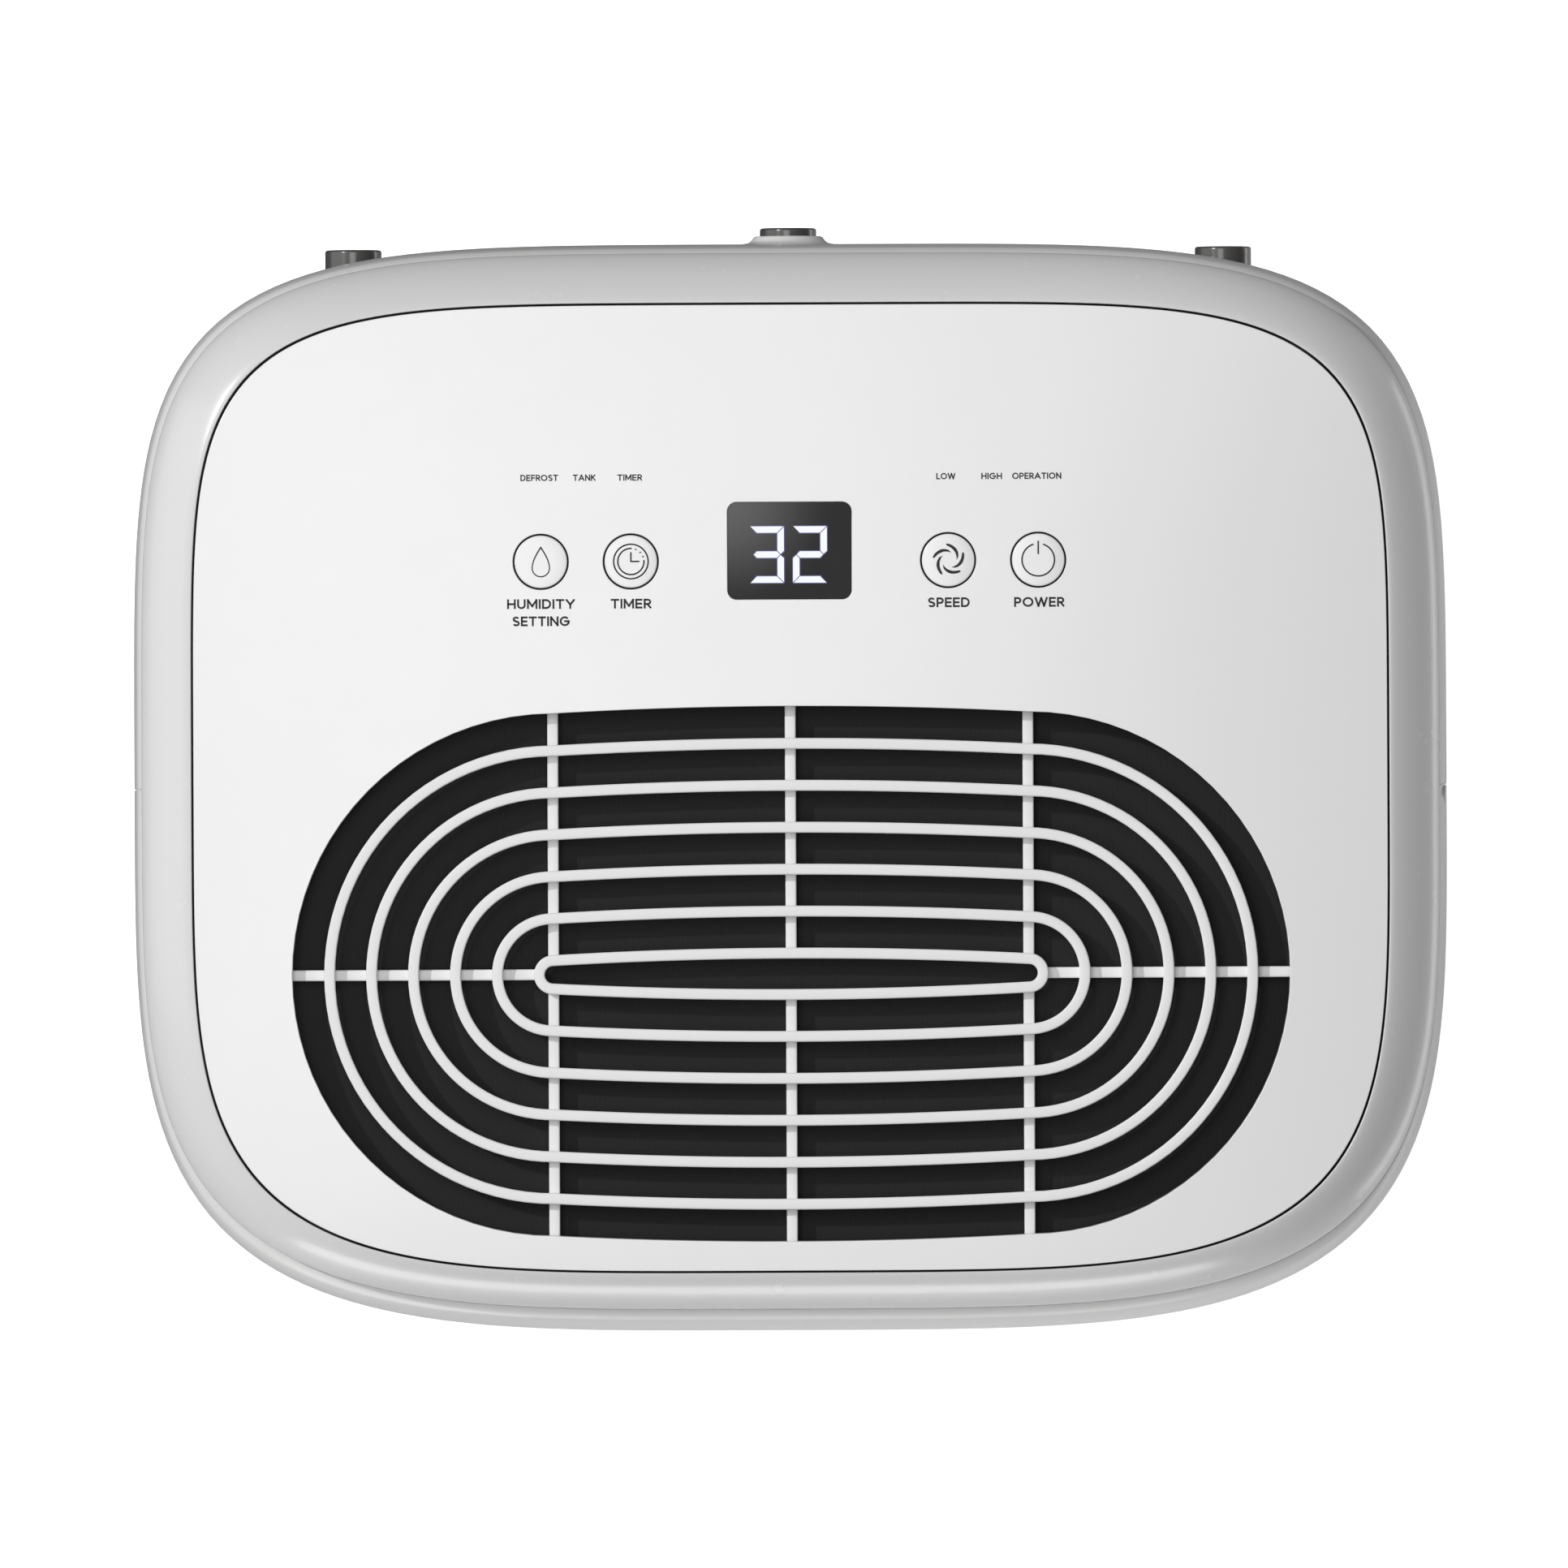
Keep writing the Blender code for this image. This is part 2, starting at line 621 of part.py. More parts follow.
def make_blower():
    scroll = plate("fan_scroll", [scroll_outline(0.0, SCROLL_TOP)], SCROLL_FRONT, SCROLL_REAR - GAP, BLACK,
                   facing="Y")
    for side in (-1, 1):
        join(scroll, box(f"scroll_foot_{side}", (side * 0.072 - 0.008, -0.080, DECK_Z + DECK_THICK + GAP),
                         (side * 0.072 + 0.008, -0.020, 0.262), folder=CUTTERS))
    cut(scroll, plate("scroll_hollow", [scroll_outline(0.002, SCROLL_TOP + 0.010)], SCROLL_FRONT + 0.002,
                      SCROLL_REAR + 0.010, folder=CUTTERS, facing="Y"))
    cut(scroll, rod("shaft_hole", (0, SCROLL_FRONT - 0.01, WHEEL_Z), (0, SCROLL_FRONT + 0.01, WHEEL_Z), 0.012,
                    folder=CUTTERS))
    plate("scroll_inlet", [scroll_outline(0.0, SCROLL_TOP), circle(0, WHEEL_Z, 0.064, 32)],
          SCROLL_REAR, SCROLL_REAR + 0.002, BLACK, facing="Y")

    front, rear = -0.088, -0.022
    blades = bpy.data.collections.new("fan_blades")
    CUTTERS.children.link(blades)
    wheel = turned("fan_wheel", ((0.0043, rear - 0.030), (0.014, rear - 0.030), (0.018, front + 0.003),
                                 (WHEEL_RADIUS, front + 0.003), (WHEEL_RADIUS, front), (0.0043, front)),
                   GREY, (0, 0, WHEEL_Z), along="Y", steps=24, loop=True)
    rim = turned("fan_rim", ((0.066, rear), (WHEEL_RADIUS, rear), (WHEEL_RADIUS, rear - 0.003),
                             (0.066, rear - 0.003)),
                 None, (0, 0, WHEEL_Z), along="Y", steps=24, loop=True, folder=blades)
    rim.hide_render = True
    for i in range(BLADES):
        blade = box(f"blade_{i + 1}", (-0.0008, front + 0.001, -0.0075), (0.0008, rear - 0.001, 0.0075),
                    folder=blades)
        turn = Matrix.Rotation(2 * math.pi * i / BLADES, 4, "Y")
        lean = Matrix.Rotation(math.radians(32), 4, "Y")
        shift = Matrix.Translation((0, blade.location.y, 0.0738))
        blade.matrix_world = Matrix.Translation((0, 0, WHEEL_Z)) @ turn @ shift @ lean
        blade.hide_render = True
    join(wheel, blades)
    rod("fan_shaft", (0, -0.112, WHEEL_Z), (0, -0.056, WHEEL_Z), 0.0040, STEEL, sides=16)
    turned("fan_motor", ((0.0, -0.1140), (0.0043, -0.1140), (0.0043, -0.0985), (0.036, -0.0985),
                         (0.039, -0.1010), (0.039, -0.1240), (0.034, -0.1270), (0.0, -0.1270)),
           STEEL, (0, 0, WHEEL_Z), along="Y", steps=24)
    low = [(x, y, 0.4190) for x, y in rounded(0, (SCROLL_FRONT - 0.002) / 2, 0.1150, 0.0490, 0.004, 7)]
    high = [(x, y, 0.4875) for x, y in rounded(0, GRILLE_Y, 0.1272, 0.0702, 0.066, 7)]
    thicken(loft("outlet_duct", [low, high], BLACK, around=True), 0.0018)


# ---------------------------------------------------------------- refrigeration


def serpentine(y, first_side):
    """The tube's centre line, pass by pass from the bottom."""
    reach = COIL_HALF + 0.0008
    bend = PASS_PITCH / 2
    points = []
    side = first_side
    points.append((side * (reach + 0.012), y, PASS_Z))
    for i in range(PASSES):
        z = PASS_Z + PASS_PITCH * i
        side = -side
        points.append((side * reach, y, z))
        if i < PASSES - 1:
            for step in range(1, 4):
                turn = math.pi * step / 4
                points.append((side * (reach + bend * math.sin(turn)), y, z + bend * (1 - math.cos(turn))))
            points.append((side * reach, y, z + PASS_PITCH))
    points.append((side * (reach + 0.012), y, z))
    return points


def make_coil(name, y, first_side):
    low, high = COIL_Z
    half = CORE_DEPTH / 2
    fins = box(f"{name}_fins", (-COIL_HALF, y - half, low), (COIL_HALF, y + half, high), FINS)
    plates = bpy.data.collections.new(f"{name}_plates")
    CUTTERS.children.link(plates)
    pitch = 2 * COIL_HALF / FIN_COUNT
    for i in range(FIN_COUNT):
        x = -COIL_HALF + (i + 0.5) * pitch
        fin = box(f"{name}_plate_{i + 1}", (x - FIN_THICK / 2, y - COIL_DEPTH / 2, low + 0.0005),
                  (x + FIN_THICK / 2, y + COIL_DEPTH / 2, high - 0.0005), folder=plates)
        fin.hide_render = True
    join(fins, plates)
    for i in range(PASSES):
        z = PASS_Z + PASS_PITCH * i
        cut(fins, rod(f"{name}_hole_{i + 1}", (-0.13, y, z), (0.13, y, z), TUBE + 2 * GAP, folder=CUTTERS, sides=8))
    pipe(f"{name}_tube", serpentine(y, first_side), TUBE, COPPER)


def make_refrigeration():
    make_coil("evaporator", EVAPORATOR_Y, 1)
    make_coil("condenser", CONDENSER_Y, -1)
    x, y = COMPRESSOR
    radius = COMPRESSOR_RADIUS
    can = turned("compressor", ((0.0, 0.1830), (0.020, 0.1818), (0.038, 0.1770), (0.049, 0.1680),
                                (radius, 0.1560), (radius, 0.0760), (0.049, 0.0660), (0.040, 0.0600),
                                (0.0, 0.0590)), ENAMEL, (x, y, 0), steps=28)
    angles = [math.radians(a) for a in (90, 210, 330)]
    feet = [(x + MOUNT_CIRCLE * math.cos(a), y + MOUNT_CIRCLE * math.sin(a)) for a in angles]
    base = []
    for a in angles:
        for side in (-1, 1):
            spread = a + side * 0.17
            base.append((x + 0.073 * math.cos(spread), y + 0.073 * math.sin(spread)))
    join(can, plate("compressor_plate", [base] + [circle(*foot, 0.0043, 12) for foot in feet],
                    0.0583, 0.0613, folder=CUTTERS))
    for i, (fx, fy) in enumerate(feet):
        turned(f"compressor_mount_{i + 1}", ((0.0, 0.0640), (0.0040, 0.0640), (0.0040, 0.0580), (0.0090, 0.0580),
                                             (0.0068, 0.0500), (0.0090, 0.0413), (0.0, 0.0413)),
               RUBBER, (fx, fy, 0), steps=12)
    tank_x = 0.016
    bottle = turned("suction_accumulator", ((0.0, 0.1650), (0.006, 0.1640), (0.015, 0.1540), (0.015, 0.0860),
                                            (0.006, 0.0760), (0.0, 0.0750)), ENAMEL, (tank_x, y, 0), steps=20)
    join(bottle, box("bottle_strap", (x + radius + GAP, y - 0.004, 0.112), (tank_x, y + 0.004, 0.124),
                     folder=CUTTERS))
    side = 0.134
    start = COIL_HALF + 0.0128 + GAP
    pipe("discharge_pipe", round_corners([(x, y, 0.1833), (x, y, 0.1930), (-side, y, 0.1930), (-side, y, 0.2260),
                                          (-side, CONDENSER_Y, PASS_Z), (-start, CONDENSER_Y, PASS_Z)],
                                         0.006), TUBE, COPPER)
    pipe("suction_pipe", round_corners([(tank_x, y, 0.1653), (tank_x, y, 0.1930), (side, EVAPORATOR_Y, 0.1930),
                                        (side, EVAPORATOR_Y, PASS_Z), (start, EVAPORATOR_Y, PASS_Z)],
                                       0.006), TUBE, COPPER)
    top = PASS_Z + PASS_PITCH * (PASSES - 1)
    pipe("liquid_line", round_corners([(-start, CONDENSER_Y, top), (0.002 - side, CONDENSER_Y, top),
                                       (0.002 - side, CONDENSER_Y, 0.437), (side - 0.002, EVAPORATOR_Y, 0.437),
                                       (side - 0.002, EVAPORATOR_Y, top), (start, EVAPORATOR_Y, top)],
                                      0.005), 0.0020, COPPER)


def make_drip_tray():
    """A trough under both coils, with a gutter that runs forward to the spout over the tank."""
    low, high = DECK_Z + DECK_THICK + 0.0005, 0.2165
    wall = 0.0018
    x, y = SPOUT
    tray = box("drip_tray", (-0.124, 0.024, low), (0.124, 0.092, high), GREY)
    join(tray, box("gutter", (x - 0.010, y - 0.012, low), (x + 0.010, 0.030, high), folder=CUTTERS))
    cut(tray, box("tray_hollow", (wall - 0.124, 0.024 + wall, low + wall), (0.124 - wall, 0.092 - wall, 0.230),
                  folder=CUTTERS))
    cut(tray, box("gutter_hollow", (x - 0.010 + wall, y - 0.012 + wall, low + wall),
                  (x + 0.010 - wall, 0.032, 0.228), folder=CUTTERS))
    join(tray, rod("spout_wall", (x, y, 0.1985), (x, y, low + 0.0012), 0.0060, folder=CUTTERS, sides=16))
    cut(tray, rod("spout_bore", (x, y, 0.190), (x, y, 0.235), 0.0042, folder=CUTTERS, sides=16))


# ---------------------------------------------------------------- frame and electrics


def make_frame():
    pan = plate("base_pan", [plan_loop(PAN)], PAN_Z, 0.054, GREY)
    cut(pan, plate("pan_hollow", [plan_loop(inset(PAN, 0.0025))], 0.041, 0.070, folder=CUTTERS))
    for sx in (-1, 1):
        for sy in (-1, 1):
            at = (sx * CASTOR_X, sy * CASTOR_Y)
            name = f"{'left' if sx < 0 else 'right'}_{'front' if sy < 0 else 'rear'}"
            join(pan, rod(f"boss_{name}", (*at, 0.0400), (*at, 0.0535), 0.0090, folder=CUTTERS, sides=16))
            cut(pan, rod(f"stem_hole_{name}", (*at, 0.030), (*at, 0.060), 0.0054, folder=CUTTERS, sides=12))
    holes = [circle(-0.134, COMPRESSOR[1], 0.006, 12), circle(0.134, EVAPORATOR_Y, 0.006, 12),
             circle(*SPOUT, 0.008, 16)]
    plate("mid_deck", [plan_loop(DECK, 28)] + holes, DECK_Z, DECK_Z + DECK_THICK, GREY)
    for name, side in (("left", -1), ("right", 1)):
        low, high = sorted((side * 0.1390, side * 0.1415))
        windows = [rounded(0.052, z, 0.020, 0.018, 0.006, 3) for z in (0.090, 0.160)]
        edge = [(0.018, 0.0413), (0.086, 0.0413), (0.082, DECK_Z - GAP), (0.018, DECK_Z - GAP)]
        plate(f"frame_side_{name}", [edge] + windows, low, high, STEEL, facing="X")
    box("electronics_box", (0.060, 0.016, 0.0600), (0.1387, 0.052, 0.1500), GREY, bevel=0.002)
    turned("run_capacitor", ((0.0, 0.1120), (0.015, 0.1120), (0.0165, 0.1100), (0.0165, 0.0415), (0.0, 0.0415)),
           GREY, (0.070, 0.096, 0), steps=20)


# ---------------------------------------------------------------- water tank


def tank_outline(distance):
    """The tank in plan: its front follows the casing, its rear is straight with round corners."""
    body = inset(BODY, 0.0042 + distance)
    half, rear, corner = TANK_HALF - distance, TANK_REAR - distance, 0.012 - distance
    steps = 12
    points = [(x, wall_y(body, x, False)) for x in (-half + 2 * half * i / steps for i in range(steps + 1))]
    for side, start in ((1, 0), (-1, 90)):
        for i in range(5):
            turn = math.radians(start + 90 * i / 4)
            points.append((side * (half - corner) + corner * math.cos(turn), rear - corner + corner * math.sin(turn)))
    return points


def make_tank():
    width, height, centre = PULL
    fascia = plate("tank_front", [wall_strip(FASCIA_HALF, 0.0030, 0.0, rear=False, count=12)], *FASCIA_Z, WHITE)
    cut(fascia, plate("pull_cut", [rounded(0, centre, width / 2, height / 2, 0.010)], -0.150, -0.100,
                      folder=CUTTERS, facing="Y"))

    tub = plate("water_tank", [tank_outline(0.0)], *TANK_Z, CLEAR)
    reach = -0.1060
    pocket = (width / 2 + 0.005, height / 2 + 0.004)
    cut(tub, box("pocket", (-pocket[0], -0.150, centre - pocket[1]), (pocket[0], reach, 0.210), folder=CUTTERS))
    hollow = plate("tank_hollow", [tank_outline(TANK_WALL)], TANK_Z[0] + TANK_WALL, 0.210, folder=CUTTERS)
    wall = TANK_WALL
    cut(hollow, box("pocket_wall", (-pocket[0] - wall, -0.150, centre - pocket[1] - wall),
                    (pocket[0] + wall, reach + wall, 0.220), folder=CUTTERS))
    cut(tub, hollow)
    float_x, pivot = 0.078, (-0.0330, 0.1560)
    for side in (-1, 1):
        x = float_x + side * 0.0130
        ear = plate(f"float_ear_{side}", [rounded(-0.0300, pivot[1], 0.0070, 0.0055, 0.004, 4)],
                    x - 0.001, x + 0.001, folder=CUTTERS, facing="X")
        join(tub, ear)
        cut(tub, rod(f"float_ear_hole_{side}", (x - 0.005, *pivot), (x + 0.005, *pivot), 0.0023,
                     folder=CUTTERS, sides=12))

    lid_top, lid_low = TANK_Z[1] + GAP + 0.0022, TANK_Z[1] + GAP
    lid = plate("tank_lid", [tank_outline(0.0), rounded(0.032, -0.050, 0.026, 0.018, 0.006, 4)],
                lid_low, lid_top, GREY)
    cut(lid, box("lid_notch", (-pocket[0], -0.150, 0.180), (pocket[0], reach, 0.210), folder=CUTTERS))

    block_y, block_z = -0.0640, 0.1240
    float_block = box("tank_float", (float_x - 0.016, block_y - 0.012, block_z - 0.010),
                      (float_x + 0.016, block_y + 0.012, block_z + 0.010), FOAM)
    arm = [(block_y - 0.003, block_z + 0.004), (block_y + 0.004, block_z - 0.002),
           (pivot[0] + 0.0035, pivot[1] - 0.003), (pivot[0] - 0.001, pivot[1] + 0.004)]
    join(float_block, plate("float_arm", [arm], float_x - 0.003, float_x + 0.003, folder=CUTTERS, facing="X"))
    join(float_block, rod("float_pin", (float_x - 0.0150, *pivot), (float_x + 0.0150, *pivot), 0.0020,
                          folder=CUTTERS, sides=12))
    box("float_switch", (float_x - 0.010, TANK_REAR + 0.003, 0.145), (float_x + 0.010, TANK_REAR + 0.013, 0.170),
        BLACK)


# ---------------------------------------------------------------- rear


def make_rear():
    half, low, high = INTAKE_HALF - 0.0004, INTAKE_Z[0] + 0.0006, INTAKE_Z[1] - 0.0006
    cover = plate("intake_cover", [wall_strip(half, WALL, 0.0, rear=True)], low, high, WHITE)
    slots, pitch, start = 12, 0.0162, 0.2330
    for i in range(slots):
        z = start + pitch * i
        cut(cover, box(f"intake_slot_{i + 1}", (-0.098, 0.115, z - 0.0046), (0.098, 0.145, z + 0.0046),
                       folder=CUTTERS))
    for side in (-1, 1):
        join(cover, box(f"intake_rib_{side}", (side * 0.033 - 0.0025, 0.1262, 0.2220),
                        (side * 0.033 + 0.0025, 0.1326, 0.4250), folder=CUTTERS))
        join(cover, box(f"intake_hook_{side}", (side * 0.075 - 0.008, 0.1262, 0.2060),
                        (side * 0.075 + 0.008, 0.1292, 0.2215), folder=CUTTERS))
        join(cover, box(f"hook_root_{side}", (side * 0.075 - 0.008, 0.1286, 0.2150),
                        (side * 0.075 + 0.008, 0.1324, 0.2212), folder=CUTTERS))

    cell_w, cell_h = 0.0485, 0.0640
    windows = [rounded(-0.0795 + 0.053 * i, 0.2535 + 0.0685 * j, cell_w / 2, cell_h / 2, 0.004, 2)
               for i in range(4) for j in range(3)]
    frame = plate("air_filter", [rounded(0, 0.322, 0.108, 0.104, 0.006, 3)] + windows, 0.1185, 0.1240, BLACK,
                  facing="Y")
    join(frame, box("filter_mesh", (-0.106, 0.1190, 0.220), (0.106, 0.1200, 0.424), folder=CUTTERS))

    for name, x in (("left", -BUMPER_X), ("centre", 0.0), ("right", BUMPER_X)):
        end = BUMPER_END[name]
        inner = 0.1295 if x == 0.0 else 0.1215
        turned(f"wall_bumper_{name}", ((0.0, end), (BUMPER_RADIUS - 0.0010, end), (BUMPER_RADIUS, end - 0.0010),
                                       (BUMPER_RADIUS, inner), (0.0092, inner), (0.0092, inner - 0.0025),
                                       (0.0, inner - 0.0025)), RUBBER, (x, 0, BUMPER_Z), along="Y", steps=20)

    bore, outer = SPIGOT_RADII
    turned("drain_spigot", ((outer, SPIGOT_END), (outer, 0.1250), (0.0120, 0.1250), (0.0120, 0.1225),
                            (outer, 0.1225), (outer, 0.1080), (bore, 0.1080), (bore, SPIGOT_END)),
           GREY, (DRAIN[0], 0, DRAIN[1]), along="Y", steps=14, loop=True)
    lining = outer + GAP
    turned("drain_cap", ((0.0, SPIGOT_END + 0.0022), (CAP_RADIUS - 0.0015, SPIGOT_END + 0.0022),
                         (CAP_RADIUS, SPIGOT_END + 0.0010), (CAP_RADIUS, 0.1338), (lining, 0.1338),
                         (lining, SPIGOT_END + 0.0004), (0.0, SPIGOT_END + 0.0004)),
           RUBBER, (DRAIN[0], 0, DRAIN[1]), along="Y", steps=14)
    turned("cable_gland", ((0.0063, GLAND_END), (0.0090, GLAND_END - 0.0010), (0.0090, 0.1335),
                           (0.0063, 0.1335), (0.0063, 0.1180), (0.0036, 0.1180), (0.0036, GLAND_END)),
           BLACK, (GLAND[0], 0, GLAND[1]), along="Y", steps=14, loop=True)


# ---------------------------------------------------------------- castors


def make_castor(name, x, y):
    """A swivelling fork whose stem turns in the base pan, and its wheel."""
    axle_y = y + TRAIL
    fork = rod(f"castor_fork_{name}", (x, y, 0.0372), (x, y, 0.0520), 0.0050, GREY, sides=12)
    join(fork, rod(f"fork_disc_{name}", (x, y, 0.0340), (x, y, 0.0375), 0.0130, folder=CUTTERS, sides=16))
    for side in (-1, 1):
        low, high = sorted((x + side * 0.0078, x + side * 0.0103))
        cheek = [(y - 0.006, 0.0352), (axle_y - 0.006, 0.0130), (axle_y, 0.0100), (axle_y + 0.006, 0.0130),
                 (y + 0.0110, 0.0352)]
        join(fork, plate(f"fork_cheek_{name}_{side}", [cheek], low, high, folder=CUTTERS, facing="X"))
    join(fork, rod(f"fork_axle_{name}", (x - 0.0090, axle_y, WHEEL), (x + 0.0090, axle_y, WHEEL), 0.0025,
                   folder=CUTTERS, sides=10))
    turned(f"castor_wheel_{name}", ((0.0028, 0.0068), (0.0070, 0.0055), (0.0120, 0.0055), (0.0145, 0.0066),
                                    (WHEEL, 0.0045), (WHEEL, -0.0045), (0.0145, -0.0066), (0.0120, -0.0055),
                                    (0.0070, -0.0055), (0.0028, -0.0068)),
           RUBBER, (x, axle_y, WHEEL), along="X", steps=16, loop=True)


def make_castors():
    for side, sx in (("left", -1), ("right", 1)):
        for end, sy in (("front", -1), ("rear", 1)):
            make_castor(f"{end}_{side}", sx * CASTOR_X, sy * CASTOR_Y)


make_front_cover()
make_rear_cover()
make_side_grip("side_grip_left", -1)
make_side_grip("side_grip_right", 1)
make_top_ring()
make_top_panel()
make_outlet_grille()
make_controls()
make_blower()
make_refrigeration()
make_drip_tray()
make_frame()
make_tank()
make_rear()
make_castors()
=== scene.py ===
import math

import bmesh
import bpy
import numpy as np
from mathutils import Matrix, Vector
from mathutils.geometry import delaunay_2d_cdt


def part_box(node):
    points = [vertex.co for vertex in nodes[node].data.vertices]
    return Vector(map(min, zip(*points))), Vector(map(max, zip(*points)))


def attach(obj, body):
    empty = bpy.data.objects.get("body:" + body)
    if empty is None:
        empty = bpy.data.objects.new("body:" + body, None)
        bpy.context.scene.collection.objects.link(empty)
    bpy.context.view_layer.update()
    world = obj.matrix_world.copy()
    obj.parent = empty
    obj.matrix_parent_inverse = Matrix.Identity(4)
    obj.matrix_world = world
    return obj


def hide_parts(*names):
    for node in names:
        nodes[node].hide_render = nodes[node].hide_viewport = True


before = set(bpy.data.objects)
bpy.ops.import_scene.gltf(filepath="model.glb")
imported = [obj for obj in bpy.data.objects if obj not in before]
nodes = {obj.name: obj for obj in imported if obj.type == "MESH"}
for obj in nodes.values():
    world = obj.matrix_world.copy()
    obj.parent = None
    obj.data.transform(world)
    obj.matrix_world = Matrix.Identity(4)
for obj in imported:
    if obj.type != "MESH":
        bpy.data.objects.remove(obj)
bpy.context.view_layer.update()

scene = bpy.context.scene

# The casing's outlines in plan: half width, front and rear half depth, front and rear power
body = (0.1626, 0.1346, 0.1346, 4.0, 4.8)
rim = (0.1603, 0.1288, 0.1320, 4.05, 4.8)
lid = (0.1472, 0.1192, 0.1190, 4.4, 5.45)

level = {
    "foot": 0.0400, "footEnd": 0.0560, "footInset": 0.0030, "shoulder": 0.4620, "coverTop": 0.4805,
    "ringLow": 0.4812, "ringTurn": 0.4838, "edge": 0.4954, "crown": 0.0025, "ledge": 0.4909,
}
seam = 0.00004  # between the covers, whose rounded edges make the visible groove
wall = 0.0028
grille = {
    "y": -0.0460, "straight": 0.0586, "radius": 0.0644, "bow": 0.0016, "first": 0.0092, "pitch": 0.01034,
    "rib": 0.0027, "loops": 6, "loopTop": 0.4962, "loopDepth": 0.0050, "barTop": 0.4927, "barDepth": 0.0043,
}
keyY = 0.0558
keyX = {"humidity": -0.0613, "timer": -0.0391, "speed": 0.0391, "power": 0.0613}
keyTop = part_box("key_power")[1][2]
keyRadius = 0.0065
keyGap = 0.0004
window = {"y": 0.0583, "width": 0.0304, "height": 0.0238, "corner": 0.0022, "gap": 0.0001}


# ---- mesh tools

def makeMesh(name, points, faces):
    mesh = bpy.data.meshes.new(name)
    mesh.from_pydata(np.asarray(points).tolist(), [], faces)
    mesh.update()
    return mesh


def place(name, mesh, rides, material, stands=(), smooth=40):
    # links a finished mesh, says what it rides on and what it stands for
    thing = bpy.data.objects.new(name, mesh)
    scene.collection.objects.link(thing)
    if smooth:
        mesh.shade_smooth()
        mesh.set_sharp_from_angle(angle=math.radians(smooth))
    mesh.materials.append(material)
    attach(thing, rides)
    if stands:
        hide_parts(*stands)
    return thing


def soften(thing, width, segments=3, angle=40):
    rounding = thing.modifiers.new("rounding", "BEVEL")
    rounding.width = width
    rounding.segments = segments
    rounding.limit_method = "ANGLE"
    rounding.angle_limit = math.radians(angle)
    rounding.harden_normals = True
    return thing


def gridFaces(rows, columns, closeRows=False, closeColumns=True):
    # quads of a grid whose points run row by row; a closed way joins its last line to its first
    r = np.arange(rows if closeRows else rows - 1)
    c = np.arange(columns if closeColumns else columns - 1)
    i, j = np.meshgrid(r, c, indexing="ij")
    nextI, nextJ = (i + 1) % rows, (j + 1) % columns
    quads = np.stack([i * columns + j, i * columns + nextJ, nextI * columns + nextJ, nextI * columns + j], -1)
    return quads.reshape(-1, 4).tolist()


def outward(mesh):
    # merges doubles and turns every face of a closed shell outwards
    shape = bmesh.new()
    shape.from_mesh(mesh)
    bmesh.ops.remove_doubles(shape, verts=shape.verts, dist=0.000002)
    bmesh.ops.recalc_face_normals(shape, faces=shape.faces)
    shape.to_mesh(mesh)
    shape.free()
    return mesh


def turnedMesh(name, profile, steps=64, axis="Z", at=(0, 0, 0), wave=None):
    # a profile of (radius, height) turned about its axis: x = r cos t, y = r sin t, z = h
    profile = np.asarray(profile, float)
    t = np.linspace(0, 2 * math.pi, steps, endpoint=False)
    radius, height = np.meshgrid(profile[:, 0], t, indexing="ij")[0], np.repeat(profile[:, 1:2], steps, 1)
    if wave:
        radius = wave(radius, height, t[None, :])
    x, y, z = radius * np.cos(t), radius * np.sin(t), height
    if axis == "Y":
        x, y, z = y, z, x
    elif axis == "X":
        x, y, z = z, x, y
    points = np.stack([x, y, z], -1).reshape(-1, 3) + np.asarray(at)
    closed = profile[0, 0] > 0 and profile[-1, 0] > 0
    return outward(makeMesh(name, points, gridFaces(len(profile), steps, closeRows=closed)))


def roundProfile(corners, radius, steps=4):
    # the corners of an open profile, each replaced by an arc of up to that radius
    corners = [np.asarray(corner, float) for corner in corners]
    path = [corners[0]]
    for before, corner, after in zip(corners, corners[1:], corners[2:]):
        into, out = before - corner, after - corner
        reach = min(radius, np.linalg.norm(into) * 0.45, np.linalg.norm(out) * 0.45)
        start = corner + into / np.linalg.norm(into) * reach
        end = corner + out / np.linalg.norm(out) * reach
        for share in np.linspace(0, 1, steps + 1):
            path.append((1 - share) ** 2 * start + 2 * share * (1 - share) * corner + share ** 2 * end)
    path.append(corners[-1])
    return np.array(path)


# ---- outlines

def superellipse(shape, theta):
    # x = a cos^(2/n), y = b sin^(2/n), with signs kept; the two halves have their own b and n
    halfWidth, front, rear, frontPower, rearPower = shape
    c, s = np.cos(theta), np.sin(theta)
    back = s >= 0
    power = np.where(back, rearPower, frontPower)
    depth = np.where(back, rear, front)
    return halfWidth * np.sign(c) * np.abs(c) ** (2 / power), depth * np.sign(s) * np.abs(s) ** (2 / power)


def inset(shape, distance):
    halfWidth, front, rear, frontPower, rearPower = shape
    return halfWidth - distance, front - distance, rear - distance, frontPower, rearPower


def between(first, second, share):
    return tuple(a + (b - a) * share for a, b in zip(first, second))


def lengthTable(shape, samples=1500):
    # angle against distance round an outline; w = t^3 / (t^3 + (1-t)^3) crowds the samples at the axes
    t = np.linspace(0, 1, samples, endpoint=False)
    w = t ** 3 / (t ** 3 + (1 - t) ** 3) * math.pi / 2
    theta = np.concatenate([w + k * math.pi / 2 for k in range(4)] + [[2 * math.pi]])
    x, y = superellipse(shape, theta)
    return theta, np.concatenate([[0], np.cumsum(np.hypot(np.diff(x), np.diff(y)))])


wallTheta, wallLength = lengthTable(body)


def evenAngles(shape, count):
    theta, length = lengthTable(shape)
    return np.interp(np.arange(count) / count * length[-1], length, theta)


